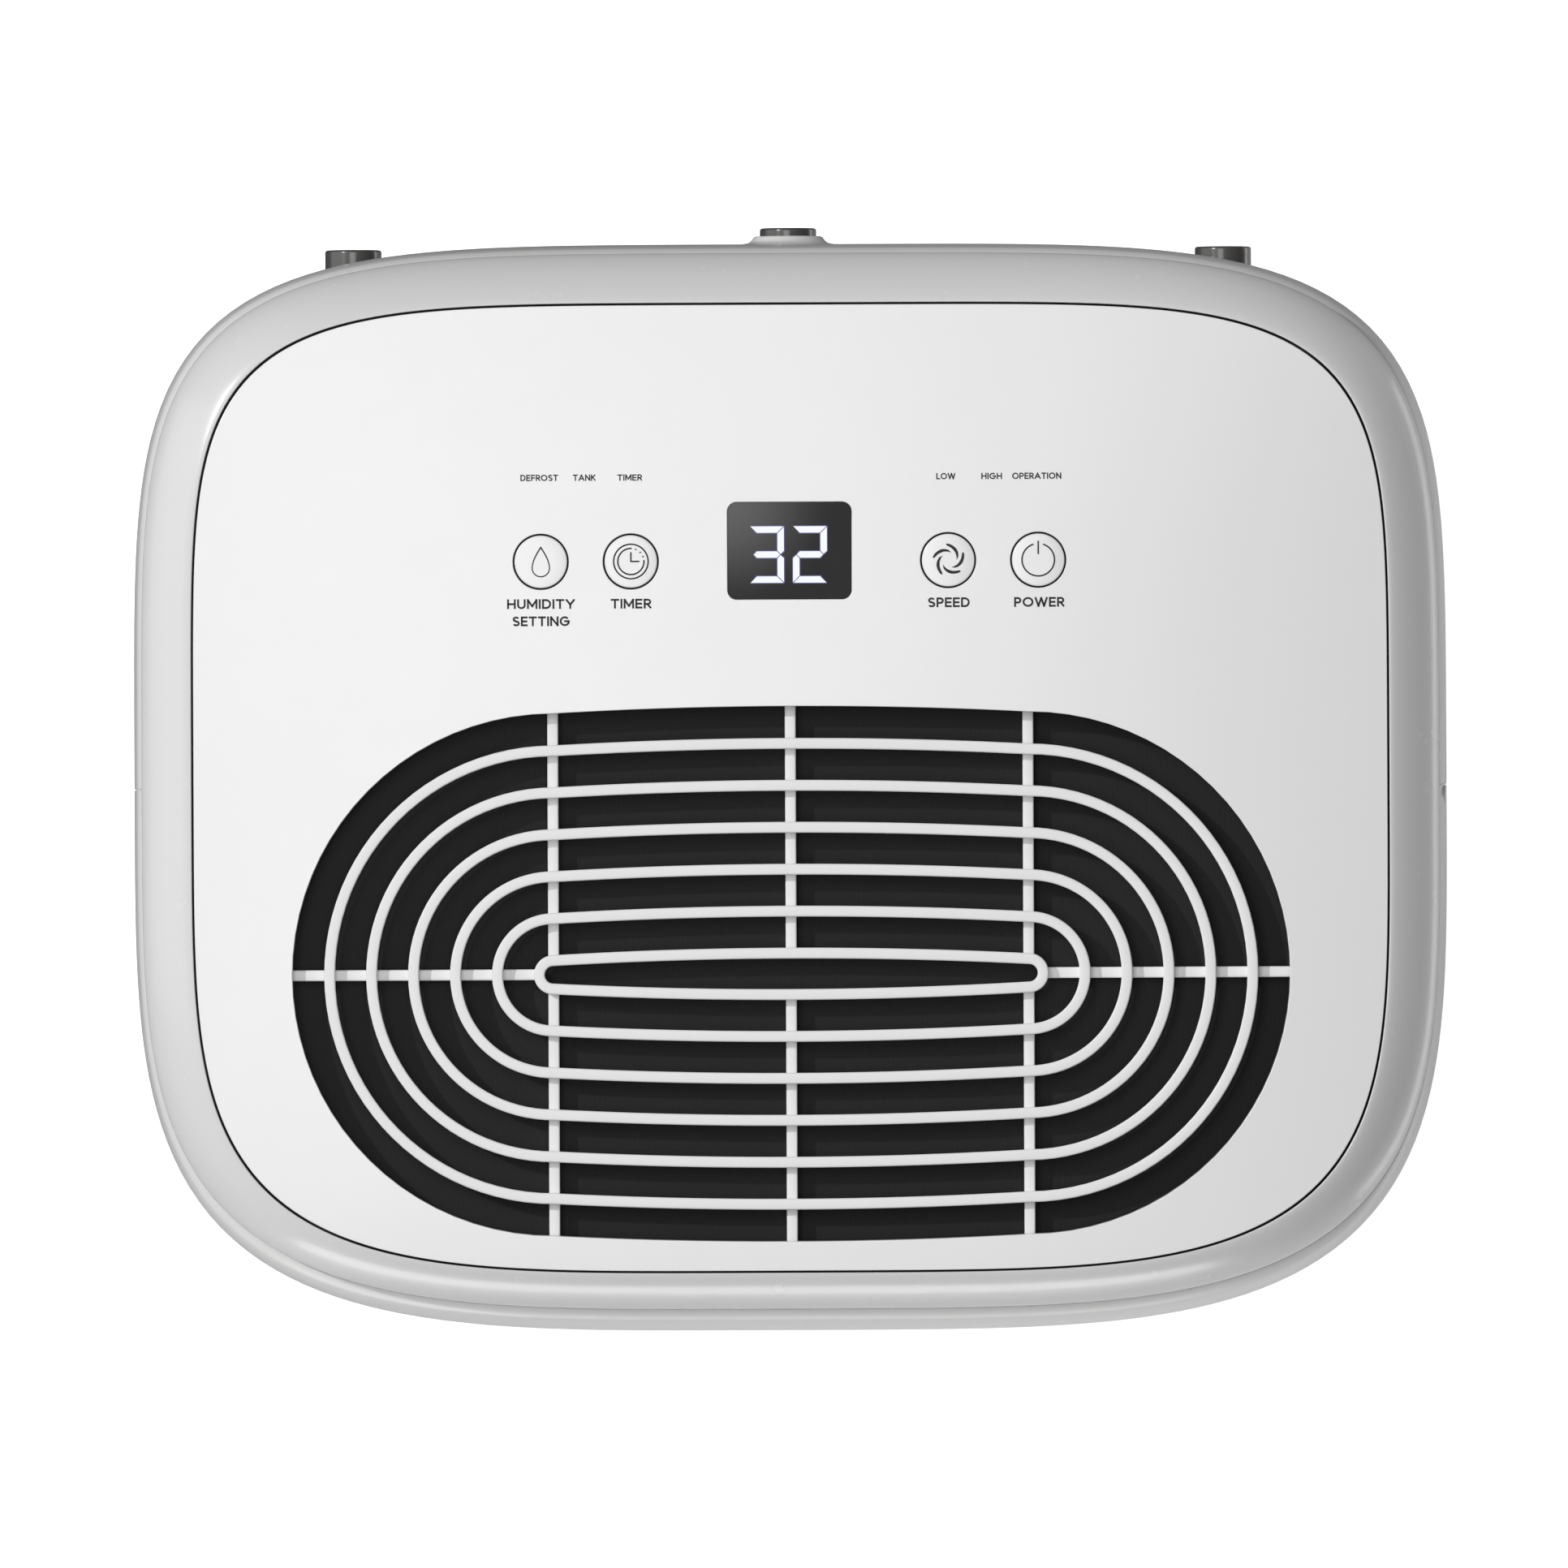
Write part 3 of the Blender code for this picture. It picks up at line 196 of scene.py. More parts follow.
def roundedRect(cx, cy, halfW, halfH, radius, steps=8):
    turn = np.linspace(0, math.pi / 2, steps)
    loop = []
    for sx, sy, start in ((1, -1, -90), (1, 1, 0), (-1, 1, 90), (-1, -1, 180)):
        a = turn + math.radians(start)
        loop.append(np.stack([cx + sx * (halfW - radius) + radius * np.cos(a),
                              cy + sy * (halfH - radius) + radius * np.sin(a)], -1))
    return np.concatenate(loop)


def circle(cx, cy, radius, steps=48):
    t = np.linspace(0, 2 * math.pi, steps, endpoint=False)
    return np.stack([cx + radius * np.cos(t), cy + radius * np.sin(t)], -1)


def stadium(radius, arcSteps=40, sideSteps=24):
    # two half circles, and two sides that bow out by bow (1 - (x / straight)^2)
    turn = np.linspace(-math.pi / 2, math.pi / 2, arcSteps, endpoint=False)
    run = np.linspace(1, -1, sideSteps, endpoint=False) * grille["straight"]
    bow = grille["bow"] * (1 - (run / grille["straight"]) ** 2)
    half = np.concatenate([
        np.stack([grille["straight"] + radius * np.cos(turn), radius * np.sin(turn)], -1),
        np.stack([run, radius + bow], -1)])
    return np.concatenate([half, -half]) + (0, grille["y"])


def densify(loop, step):
    # no stretch of a closed outline longer than the step
    loop = np.asarray(loop, float)
    ends = np.roll(loop, -1, axis=0)
    parts = []
    for a, b in zip(loop, ends):
        count = max(1, int(math.ceil(np.linalg.norm(b - a) / step)))
        parts.append(a + (b - a) * (np.arange(count) / count)[:, None])
    return np.concatenate(parts)


def insideLoop(points, loop):
    # crossing test for many points at once
    x, y = points[:, 0][:, None], points[:, 1][:, None]
    x0, y0 = loop[:, 0][None], loop[:, 1][None]
    x1, y1 = np.roll(loop[:, 0], -1)[None], np.roll(loop[:, 1], -1)[None]
    crosses = (y0 > y) != (y1 > y)
    with np.errstate(divide="ignore", invalid="ignore"):
        at = (x1 - x0) * (y - y0) / (y1 - y0) + x0
    return (np.sum(crosses & (x < at), axis=1) % 2) == 1


def clearOf(points, loops, distance):
    keep = np.ones(len(points), bool)
    for loop in loops:
        for start in range(0, len(points), 4000):
            part = slice(start, start + 4000)
            away = points[part, None, :2] - loop[None, :, :2]
            gap = np.min(np.hypot(away[..., 0], away[..., 1]), 1)
            keep[part] &= gap > distance
    return keep


def cutSheet(name, outline, holes, xs, ys, mapper, edgeStep=0.0015, margin=0.0012):
    # a flat domain with holes, filled with grid points, triangulated and carried into space by the mapper
    loops = [densify(loop, edgeStep) for loop in [outline] + list(holes)]
    gx, gy = np.meshgrid(xs, ys)
    inner = np.stack([gx.ravel(), gy.ravel()], -1)
    keep = insideLoop(inner, loops[0]) & clearOf(inner, loops, margin)
    for loop in loops[1:]:
        keep &= ~insideLoop(inner, loop)
    points = np.concatenate(loops + [inner[keep]])
    edges = []
    start = 0
    for loop in loops:
        count = len(loop)
        edges += [(start + i, start + (i + 1) % count) for i in range(count)]
        start += count
    spots, _, faces, _, _, _ = delaunay_2d_cdt([Vector(p) for p in points.tolist()], edges, [], 1, 1e-7)
    spots = np.array([tuple(spot) for spot in spots])
    faces = np.array(faces)
    middles = spots[faces].mean(axis=1)
    keep = insideLoop(middles, loops[0])
    for loop in loops[1:]:
        keep &= ~insideLoop(middles, loop)
    return makeMesh(name, mapper(spots[:, 0], spots[:, 1]), faces[keep].tolist())


def paintGapShade(thing, where):
    # the faces whose middles pass the test get the black material: painted shade for the inside of a gap
    mesh = thing.data
    middles = np.empty(len(mesh.polygons) * 3)
    mesh.polygons.foreach_get("center", middles)
    chosen = where(*middles.reshape(-1, 3).T)
    mesh.materials.append(blackPlasticAndGapShade)
    mesh.polygons.foreach_set("material_index", chosen.astype(np.int32))


def superGauge(x, y, shape):
    # 1 on the outline, less inside it: ((|x|/a)^n + (|y|/b)^n)^(1/n)
    power = np.where(y >= 0, shape[4], shape[3])
    depth = np.where(y >= 0, shape[2], shape[1])
    return ((np.abs(x) / shape[0]) ** power + (np.abs(y) / depth) ** power) ** (1 / power)


def giveWall(thing, thickness):
    solid = thing.modifiers.new("wall", "SOLIDIFY")
    solid.thickness = thickness
    solid.offset = -1
    solid.use_even_offset = True
    return thing


def slab(name, outline, holes, low, high, facing="Z"):
    # a flat plate between two heights, facing Z, Y (outline in x, z) or X (outline in y, z)
    loops = [np.asarray(loop, float) for loop in [outline] + list(holes)]
    count = sum(len(loop) for loop in loops)
    edges = []
    start = 0
    for loop in loops:
        edges += [(start + i, start + (i + 1) % len(loop)) for i in range(len(loop))]
        start += len(loop)
    flat = np.concatenate(loops)
    spots, _, faces, _, _, _ = delaunay_2d_cdt([Vector(p) for p in flat.tolist()], edges, [], 1, 1e-8)
    spots = np.array([tuple(spot) for spot in spots])
    faces = np.array(faces)
    middles = spots[faces].mean(axis=1)
    keep = insideLoop(middles, loops[0])
    for loop in loops[1:]:
        keep &= ~insideLoop(middles, loop)
    faces = faces[keep]
    shift = len(spots)
    layers = []
    for z in (high, low):
        u, v, w = spots[:, 0], spots[:, 1], np.full(shift, z)
        layers.append(np.stack({"Z": (u, v, w), "Y": (u, w, v), "X": (w, u, v)}[facing], -1))
    sides = [[a, b, b + shift, a + shift] for a, b in edges]
    every = faces.tolist() + (faces[:, ::-1] + shift).tolist() + sides
    return outward(makeMesh(name, np.concatenate(layers), every))


# ---- places on the casing

def casingShape(z):
    # the outline at each height: foot inset, straight wall, and a quarter-ellipse shoulder up to the ring
    foot = np.clip((level["footEnd"] - z) / (level["footEnd"] - level["foot"]), 0, 1)
    top = np.clip((z - level["shoulder"]) / (level["coverTop"] - level["shoulder"]), 0, 1)
    drop = level["footInset"] * (1 - np.sqrt(1 - foot ** 2))
    share = 1 - np.sqrt(1 - top ** 2)
    shape = between(body, rim, share)
    return shape[0] - drop, shape[1] - drop, shape[2] - drop, shape[3], shape[4]


def onCasing(u, z):
    theta = np.interp(u, wallLength, wallTheta)
    x, y = superellipse(casingShape(z), theta)
    return np.stack([x, y, z + 0 * x], -1)


def uFromX(x, rear):
    # distance round the casing of a place on the front or rear wall
    power = body[4] if rear else body[3]
    c = np.sign(x) * (np.abs(x) / body[0]) ** (power / 2)
    theta = np.arccos(c) if rear else 2 * math.pi - np.arccos(c)
    return np.interp(theta, wallTheta, wallLength)


def uFromY(y, right):
    # distance round the casing of a place on a side wall
    y = np.asarray(y, float)
    power = np.where(y >= 0, body[4], body[3])
    s = np.sign(y) * (np.abs(y) / body[2]) ** (power / 2)
    theta = np.arcsin(s) % (2 * math.pi) if right else math.pi - np.arcsin(s)
    return np.interp(theta, wallTheta, wallLength)


def crownZ(x, y):
    # the panel's height: edge + crown (1 - s^3), where s is 1 on its outline and 0 in the middle
    return level["edge"] + level["crown"] * (1 - np.clip(superGauge(x, y, lid), 0, 1) ** 3)


# ---- finishes

def socket(group, name, kind, out=False, value=None):
    made = group.interface.new_socket(name=name, in_out="OUTPUT" if out else "INPUT", socket_type=kind)
    if value is not None:
        made.default_value = value


def mouldedGroup():
    # fine moulding texture, slow tone drift and uneven gloss
    group = bpy.data.node_groups.new("mouldedFinish", "ShaderNodeTree")
    socket(group, "Colour", "NodeSocketColor")
    socket(group, "Tone", "NodeSocketFloat", value=0.03)
    socket(group, "Roughness", "NodeSocketFloat", value=0.3)
    socket(group, "Spread", "NodeSocketFloat", value=0.06)
    socket(group, "Grain", "NodeSocketFloat", value=2600.0)
    socket(group, "Colour", "NodeSocketColor", out=True)
    socket(group, "Roughness", "NodeSocketFloat", out=True)
    socket(group, "Height", "NodeSocketFloat", out=True)
    add, link = group.nodes.new, group.links.new
    entry, leave = add("NodeGroupInput"), add("NodeGroupOutput")
    place3d = add("ShaderNodeTexCoord")
    grain, drift, gloss = add("ShaderNodeTexNoise"), add("ShaderNodeTexNoise"), add("ShaderNodeTexNoise")
    drift.inputs["Scale"].default_value = 14
    drift.inputs["Detail"].default_value = 3
    gloss.inputs["Scale"].default_value = 120
    gloss.inputs["Detail"].default_value = 5
    grain.inputs["Detail"].default_value = 2
    for noise in (grain, drift, gloss):
        link(place3d.outputs["Object"], noise.inputs["Vector"])
    link(entry.outputs["Grain"], grain.inputs["Scale"])
    shade = add("ShaderNodeMath")
    shade.operation = "MULTIPLY_ADD"
    link(drift.outputs["Fac"], shade.inputs[0])
    link(entry.outputs["Tone"], shade.inputs[1])
    less = add("ShaderNodeMath")
    less.operation = "MULTIPLY_ADD"
    less.inputs[1].default_value = -0.5
    less.inputs[2].default_value = 1.0
    link(entry.outputs["Tone"], less.inputs[0])
    link(less.outputs[0], shade.inputs[2])
    tint = add("ShaderNodeMix")
    tint.data_type = "RGBA"
    tint.blend_type = "MULTIPLY"
    tint.inputs["Factor"].default_value = 1.0
    link(entry.outputs["Colour"], tint.inputs["A"])
    link(shade.outputs[0], tint.inputs["B"])
    rough = add("ShaderNodeMath")
    rough.operation = "MULTIPLY_ADD"
    link(gloss.outputs["Fac"], rough.inputs[0])
    link(entry.outputs["Spread"], rough.inputs[1])
    link(entry.outputs["Roughness"], rough.inputs[2])
    link(tint.outputs["Result"], leave.inputs["Colour"])
    link(rough.outputs[0], leave.inputs["Roughness"])
    link(grain.outputs["Fac"], leave.inputs["Height"])
    return group


moulded = mouldedGroup()


def newMaterial(name):
    made = bpy.data.materials.new(name)
    made.use_nodes = True
    tree = made.node_tree
    shader = tree.nodes["Principled BSDF"]
    return made, tree, shader


def plastic(name, colour, roughness, tone=0.03, spread=0.08, grain=2600.0, bump=0.10, depth=0.00005, coat=0.0,
            coatRough=0.12):
    made, tree, shader = newMaterial(name)
    finish = tree.nodes.new("ShaderNodeGroup")
    finish.node_tree = moulded
    finish.inputs["Colour"].default_value = (*colour, 1)
    finish.inputs["Tone"].default_value = tone
    finish.inputs["Roughness"].default_value = roughness - spread / 2
    finish.inputs["Spread"].default_value = spread
    finish.inputs["Grain"].default_value = grain
    relief = tree.nodes.new("ShaderNodeBump")
    relief.inputs["Strength"].default_value = bump
    relief.inputs["Distance"].default_value = depth
    link = tree.links.new
    link(finish.outputs["Height"], relief.inputs["Height"])
    link(finish.outputs["Colour"], shader.inputs["Base Color"])
    link(finish.outputs["Roughness"], shader.inputs["Roughness"])
    link(relief.outputs["Normal"], shader.inputs["Normal"])
    shader.inputs["Coat Weight"].default_value = coat
    shader.inputs["Coat Roughness"].default_value = coatRough
    return made


def metal(name, colour, roughness, stretch=(1, 1, 1), streak=900.0, bump=0.15, tone=0.10):
    # streaks drawn out along one axis, and cloudy tarnish
    made, tree, shader = newMaterial(name)
    add, link = tree.nodes.new, tree.links.new
    where, turn = add("ShaderNodeTexCoord"), add("ShaderNodeMapping")
    turn.inputs["Scale"].default_value = stretch
    link(where.outputs["Object"], turn.inputs["Vector"])
    brush, cloud = add("ShaderNodeTexNoise"), add("ShaderNodeTexNoise")
    brush.inputs["Scale"].default_value = streak
    brush.inputs["Detail"].default_value = 4
    cloud.inputs["Scale"].default_value = 45
    cloud.inputs["Detail"].default_value = 6
    link(turn.outputs["Vector"], brush.inputs["Vector"])
    link(where.outputs["Object"], cloud.inputs["Vector"])
    dark = tuple(c * (1 - tone * 2.2) for c in colour)
    ramp = add("ShaderNodeMix")
    ramp.data_type = "RGBA"
    ramp.inputs["A"].default_value = (*dark, 1)
    ramp.inputs["B"].default_value = (*colour, 1)
    link(cloud.outputs["Fac"], ramp.inputs["Factor"])
    rough = add("ShaderNodeMath")
    rough.operation = "MULTIPLY_ADD"
    rough.inputs[1].default_value = 0.22
    rough.inputs[2].default_value = roughness - 0.11
    link(brush.outputs["Fac"], rough.inputs[0])
    relief = add("ShaderNodeBump")
    relief.inputs["Strength"].default_value = bump
    relief.inputs["Distance"].default_value = 0.0001
    link(brush.outputs["Fac"], relief.inputs["Height"])
    link(ramp.outputs["Result"], shader.inputs["Base Color"])
    link(rough.outputs[0], shader.inputs["Roughness"])
    link(relief.outputs["Normal"], shader.inputs["Normal"])
    shader.inputs["Metallic"].default_value = 1.0
    return made


panelWhite = plastic("panelWhite", (0.86, 0.86, 0.86), 0.30, tone=0.02, bump=0.06, coat=1.0, coatRough=0.26)
coverWhite = plastic("coverWhite", (0.84, 0.84, 0.835), 0.30, tone=0.02, bump=0.08)
ringWhite = plastic("ringWhite", (0.76, 0.76, 0.765), 0.26, tone=0.02, bump=0.05, coat=0.3)
grilleWhite = plastic("grilleWhite", (0.88, 0.88, 0.88), 0.36, tone=0.02, bump=0.06)
# black plastic of the inner parts, also used as painted shade inside gaps
blackPlasticAndGapShade = plastic("blackPlasticAndGapShade", (0.012, 0.012, 0.0125), 0.60, tone=0.2, bump=0.25, grain=1800)
pocketWhite = plastic("pocketWhite", (0.80, 0.80, 0.80), 0.45, tone=0.03, bump=0.2, grain=1600)
chassisGrey = plastic("chassisGrey", (0.22, 0.225, 0.23), 0.52, tone=0.08, bump=0.25, grain=1500)
castorGrey = plastic("castorGrey", (0.055, 0.056, 0.058), 0.42, tone=0.08, bump=0.2, grain=1500)
tyreRubber = plastic("tyreRubber", (0.028, 0.028, 0.029), 0.62, tone=0.15, bump=0.35, grain=1400)
bumperRubber = plastic("bumperRubber", (0.075, 0.072, 0.070), 0.30, tone=0.10, bump=0.10, coat=0.6)
inkGrey = plastic("inkGrey", (0.014, 0.014, 0.016), 0.60, tone=0.10, bump=0.05)
floatFoam = plastic("floatFoam", (0.78, 0.78, 0.74), 0.85, tone=0.06, bump=0.6, grain=900, depth=0.0002)
enamelBlack = plastic("enamelBlack", (0.016, 0.016, 0.018), 0.28, tone=0.2, bump=0.12, grain=700, coat=0.5)
steelBright = metal("steelBright", (0.62, 0.63, 0.64), 0.34, stretch=(1, 1, 0.05))
copperTube = metal("copperTube", (0.74, 0.40, 0.25), 0.30, streak=300, tone=0.16)
finSilver = metal("finSilver", (0.80, 0.81, 0.82), 0.36, stretch=(1, 1, 0.02), streak=700, bump=0.4)


def tankMaterial():
    # smoky translucent tank wall with flow clouds
    made, tree, shader = newMaterial("tankSmoke")
    finish = tree.nodes.new("ShaderNodeGroup")
    finish.node_tree = moulded
    finish.inputs["Colour"].default_value = (0.55, 0.63, 0.68, 1)
    finish.inputs["Tone"].default_value = 0.08
    finish.inputs["Roughness"].default_value = 0.14
    finish.inputs["Spread"].default_value = 0.10
    finish.inputs["Grain"].default_value = 900
    link = tree.links.new
    link(finish.outputs["Colour"], shader.inputs["Base Color"])
    link(finish.outputs["Roughness"], shader.inputs["Roughness"])
    shader.inputs["Transmission Weight"].default_value = 0.55
    shader.inputs["IOR"].default_value = 1.45
    return made


def boardMaterial():
    # green solder resist over a pattern of tracks
    made, tree, shader = newMaterial("boardGreen")
    add, link = tree.nodes.new, tree.links.new
    where, tracks, ramp = add("ShaderNodeTexCoord"), add("ShaderNodeTexBrick"), add("ShaderNodeMix")
    tracks.inputs["Scale"].default_value = 90
    tracks.inputs["Mortar Size"].default_value = 0.03
    tracks.inputs["Color1"].default_value = (1, 1, 1, 1)
    tracks.inputs["Color2"].default_value = (0.7, 0.7, 0.7, 1)
    tracks.inputs["Mortar"].default_value = (0, 0, 0, 1)
    ramp.data_type = "RGBA"
    ramp.inputs["A"].default_value = (0.03, 0.22, 0.10, 1)
    ramp.inputs["B"].default_value = (0.01, 0.10, 0.05, 1)
    link(where.outputs["Object"], tracks.inputs["Vector"])
    link(tracks.outputs["Color"], ramp.inputs["Factor"])
    link(ramp.outputs["Result"], shader.inputs["Base Color"])
    shader.inputs["Roughness"].default_value = 0.35
    return made


def filterMaterial(name="filterWeave", dark=(0.004, 0.004, 0.004, 1), light=(0.050, 0.050, 0.052, 1), relief=0.6):
    # a square weave: height is the product of two sine waves
    made, tree, shader = newMaterial(name)
    add, link = tree.nodes.new, tree.links.new
    where = add("ShaderNodeTexCoord")
    waves = []
    for direction in ("X", "Z"):
        wave = add("ShaderNodeTexWave")
        wave.bands_direction = direction
        wave.inputs["Scale"].default_value = 260
        link(where.outputs["Object"], wave.inputs["Vector"])
        waves.append(wave)
    weave = add("ShaderNodeMath")
    weave.operation = "MAXIMUM"
    link(waves[0].outputs["Fac"], weave.inputs[0])
    link(waves[1].outputs["Fac"], weave.inputs[1])
    ramp = add("ShaderNodeMix")
    ramp.data_type = "RGBA"
    ramp.inputs["A"].default_value = dark
    ramp.inputs["B"].default_value = light
    link(weave.outputs[0], ramp.inputs["Factor"])
    threads = add("ShaderNodeBump")
    threads.inputs["Strength"].default_value = relief
    threads.inputs["Distance"].default_value = 0.0004
    link(weave.outputs[0], threads.inputs["Height"])
    link(ramp.outputs["Result"], shader.inputs["Base Color"])
    link(threads.outputs["Normal"], shader.inputs["Normal"])
    shader.inputs["Roughness"].default_value = 0.6
    return made


def netMaterial():
    # the filter's weave in a deeper black
    made = filterMaterial("netBlack", (0.0015, 0.0015, 0.0015, 1), (0.0095, 0.0095, 0.0095, 1), 0.15)
    shader = made.node_tree.nodes["Principled BSDF"]
    shader.inputs["Specular IOR Level"].default_value = 0.25
    return made


def lensMaterial():
    # dark window with a painted reflection: lighter towards one corner, a smooth fall over 27 mm from it
    made = plastic("lensDarkWithPaintedGlare", (0.022, 0.022, 0.023), 0.35, tone=0.12, bump=0.01)
    add, link = made.node_tree.nodes.new, made.node_tree.links.new
    where, far, fall, ramp = (add("ShaderNodeTexCoord"), add("ShaderNodeVectorMath"), add("ShaderNodeMapRange"),
                              add("ShaderNodeMix"))
    far.operation = "DISTANCE"
    far.inputs[1].default_value = (-0.0150, 0.0700, 0.498)
    fall.interpolation_type = "SMOOTHSTEP"
    fall.inputs["From Max"].default_value = 0.027
    fall.inputs["To Min"].default_value, fall.inputs["To Max"].default_value = 1, 0
    # B is the painted reflection's lighter grey at the corner
    ramp.data_type = "RGBA"
    ramp.inputs["A"].default_value = (0.022, 0.022, 0.023, 1)
    ramp.inputs["B"].default_value = (0.135, 0.135, 0.137, 1)
    link(where.outputs["Object"], far.inputs[0])
    link(far.outputs["Value"], fall.inputs["Value"])
    link(fall.outputs["Result"], ramp.inputs["Factor"])
    link(ramp.outputs["Result"], made.node_tree.nodes["Group"].inputs["Colour"])
    made.node_tree.nodes["Principled BSDF"].inputs["Specular IOR Level"].default_value = 0.10
    return made


def glowMaterial(name, colour, strength):
    made, tree, shader = newMaterial(name)
    add, link = tree.nodes.new, tree.links.new
    where, uneven, ramp = add("ShaderNodeTexCoord"), add("ShaderNodeTexNoise"), add("ShaderNodeMix")
    uneven.inputs["Scale"].default_value = 400
    ramp.data_type = "RGBA"
    ramp.inputs["A"].default_value = (*[c * 0.92 for c in colour], 1)
    ramp.inputs["B"].default_value = (*colour, 1)
    link(where.outputs["Object"], uneven.inputs["Vector"])
    link(uneven.outputs["Fac"], ramp.inputs["Factor"])
    link(ramp.outputs["Result"], shader.inputs["Emission Color"])
    shader.inputs["Base Color"].default_value = (*[c * 0.2 for c in colour], 1)
    shader.inputs["Emission Strength"].default_value = strength
    shader.inputs["Roughness"].default_value = 0.5
    return made


tankSmoke, boardGreen, filterWeave, lensDarkWithPaintedGlare = tankMaterial(), boardMaterial(), filterMaterial(), lensMaterial()
netBlack = netMaterial()
digitGlow = glowMaterial("digitGlow", (0.80, 0.82, 0.95), 1.0)
digitHalo = glowMaterial("digitHalo", (0.10, 0.10, 0.22), 1.0)
print("finishes made")


# ---- top

def makePanel():
    outline = np.stack(superellipse(lid, evenAngles(lid, 420)), -1)
    frameGap = window["gap"]
    holes = [
        stadium(grille["radius"]),
        roundedRect(0, window["y"], window["width"] / 2 + frameGap, window["height"] / 2 + frameGap,
                    window["corner"] + frameGap),
    ] + [circle(x, keyY, keyRadius + keyGap) for x in keyX.values()]
    xs = np.arange(-lid[0], lid[0], 0.0032)
    ys = np.arange(-lid[1], lid[2], 0.0032)

    def mapper(x, y):
        return np.stack([x, y, crownZ(x, y)], -1)

    panel = place("topPanelSkin", cutSheet("topPanelSkin", outline, holes, xs, ys, mapper), "casing",
                  panelWhite, ["top_panel"])
    giveWall(panel, 0.0024)
    soften(panel, 0.0002)


def makeRing():
    # outer face, slope, inner lip and ledge; the slope rises as (1 - (1-t)^1.3)^(1/1.3)
    mouth = inset(lid, -0.0005)
    low, turn, edge, ledge = level["ringLow"], level["ringTurn"], level["edge"] - 0.0002, level["ledge"]
    t = 1 - np.cos(np.linspace(0, math.pi / 2, 26))
    rise = turn + (edge - turn) * (1 - (1 - t) ** 1.3) ** (1 / 1.3)
    section = [(0.0, low + 0.0002), (0.0, low + 0.0012)] + list(zip(t * 0.975, rise))
    section += [(0.985, edge + 0.00000), (0.995, edge - 0.00012), (1.0, edge - 0.0004), (1.0, ledge), (1.35, ledge),
                (1.35, 0.4889), (0.62, 0.4889), (0.20, 0.4846), (0.17, low), (0.02, low)]
    theta = evenAngles(rim, 360)
    rows = []
    for share, z in section:
        x, y = superellipse(between(rim, mouth, share), theta)
        rows.append(np.stack([x, y, np.full_like(x, z)], -1))
    points = np.concatenate(rows)
    mesh = outward(makeMesh("topRingSkin", points, gridFaces(len(rows), len(theta), closeRows=True)))
    ring = place("topRingSkin", mesh, "casing", ringWhite, ["top_ring"], smooth=50)
    # painted shade: the ring mouth's ledge and inner wall turn black to stand for the dark gap round the panel
    paintGapShade(ring, lambda x, y, z: (z < edge - 0.0006) & (superGauge(x, y, inset(lid, -0.0007)) < 1.0))


def sweepLoop(name, path, section, material):
    # a closed path in plan with a section of (sideways, height) carried square to it
    ahead, behind = np.roll(path, -1, axis=0), np.roll(path, 1, axis=0)
    along = ahead - behind
    along /= np.linalg.norm(along, axis=1)[:, None]
    side = np.stack([along[:, 1], -along[:, 0]], -1)
    rows = [np.column_stack([path + side * across, np.full(len(path), z)]) for across, z in section]
    mesh = outward(makeMesh(name, np.concatenate(rows), gridFaces(len(rows), len(path), closeRows=True)))
    return place(name, mesh, "casing", material, smooth=50)


def ribSection(half, top, depth, radius=0.0004):
    # an upright bar with a rounded top
    t = np.linspace(0, math.pi / 2, 6)
    right = np.stack([half - radius + radius * np.sin(t), top - radius + radius * np.cos(t)], -1)
    left = right[::-1] * (-1, 1)
    low = top - depth
    return np.concatenate([left, right, [(half * 0.86, low)], [(-half * 0.86, low)]])


def makeGrille():
    half = grille["rib"] / 2
    radii = [grille["radius"] - grille["first"] - grille["pitch"] * i for i in range(grille["loops"])]
    section = ribSection(half, grille["loopTop"], grille["loopDepth"])
    for i, radius in enumerate(radii):
        sweepLoop(f"grilleLoop{i + 1}", stadium(radius, 48, 30), section, grilleWhite)
    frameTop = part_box("outlet_grille")[1][2] - 0.0042
    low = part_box("outlet_grille")[0][2]
    rebate = [(-0.0002, frameTop), (0.0040, frameTop), (0.0040, low), (-0.0002, low)]
    frameLoop = sweepLoop("grilleFrame", stadium(grille["radius"]), rebate, blackPlasticAndGapShade)
    soften(frameLoop, 0.0003)
    core, reach = radii[-1], grille["radius"] + 0.0015
    spans = []
    for x in (-grille["straight"], 0.0, grille["straight"]):
        start = core + (grille["bow"] if x == 0 else 0)
        end = reach + (grille["bow"] if x == 0 else 0)
        spans += [((x, start), (x, end)), ((x, -end), (x, -start))]
    inner, outer = grille["straight"] + core, grille["straight"] + reach
    spans += [((inner, 0), (outer, 0)), ((-outer, 0), (-inner, 0))]
    barSection = ribSection(half, grille["barTop"], grille["barDepth"])
    for i, (a, b) in enumerate(spans):
        a, b = np.array(a) + (0, grille["y"]), np.array(b) + (0, grille["y"])
        along = (b - a) / np.linalg.norm(b - a)
        side = np.array([along[1], -along[0]])
        rows = []
        for end in np.linspace(a, b, 12):
            rows.append(np.column_stack([end + side * barSection[:, :1], barSection[:, 1]]))
        count = len(barSection)
        faces = gridFaces(len(rows), count)
        faces += [list(range(count)), list(range((len(rows) - 1) * count, len(rows) * count))]
        mesh = outward(makeMesh(f"grilleBar{i + 1}", np.concatenate(rows), faces))
        place(f"grilleBar{i + 1}", mesh, "casing", grilleWhite, smooth=50)
    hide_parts("outlet_grille")
    net = slab("outletNet", densify(stadium(grille["radius"] + 0.0030, 24, 14), 0.02), [], 0.4871, 0.4874)
    place("outletNet", net, "casing", netBlack, smooth=0)


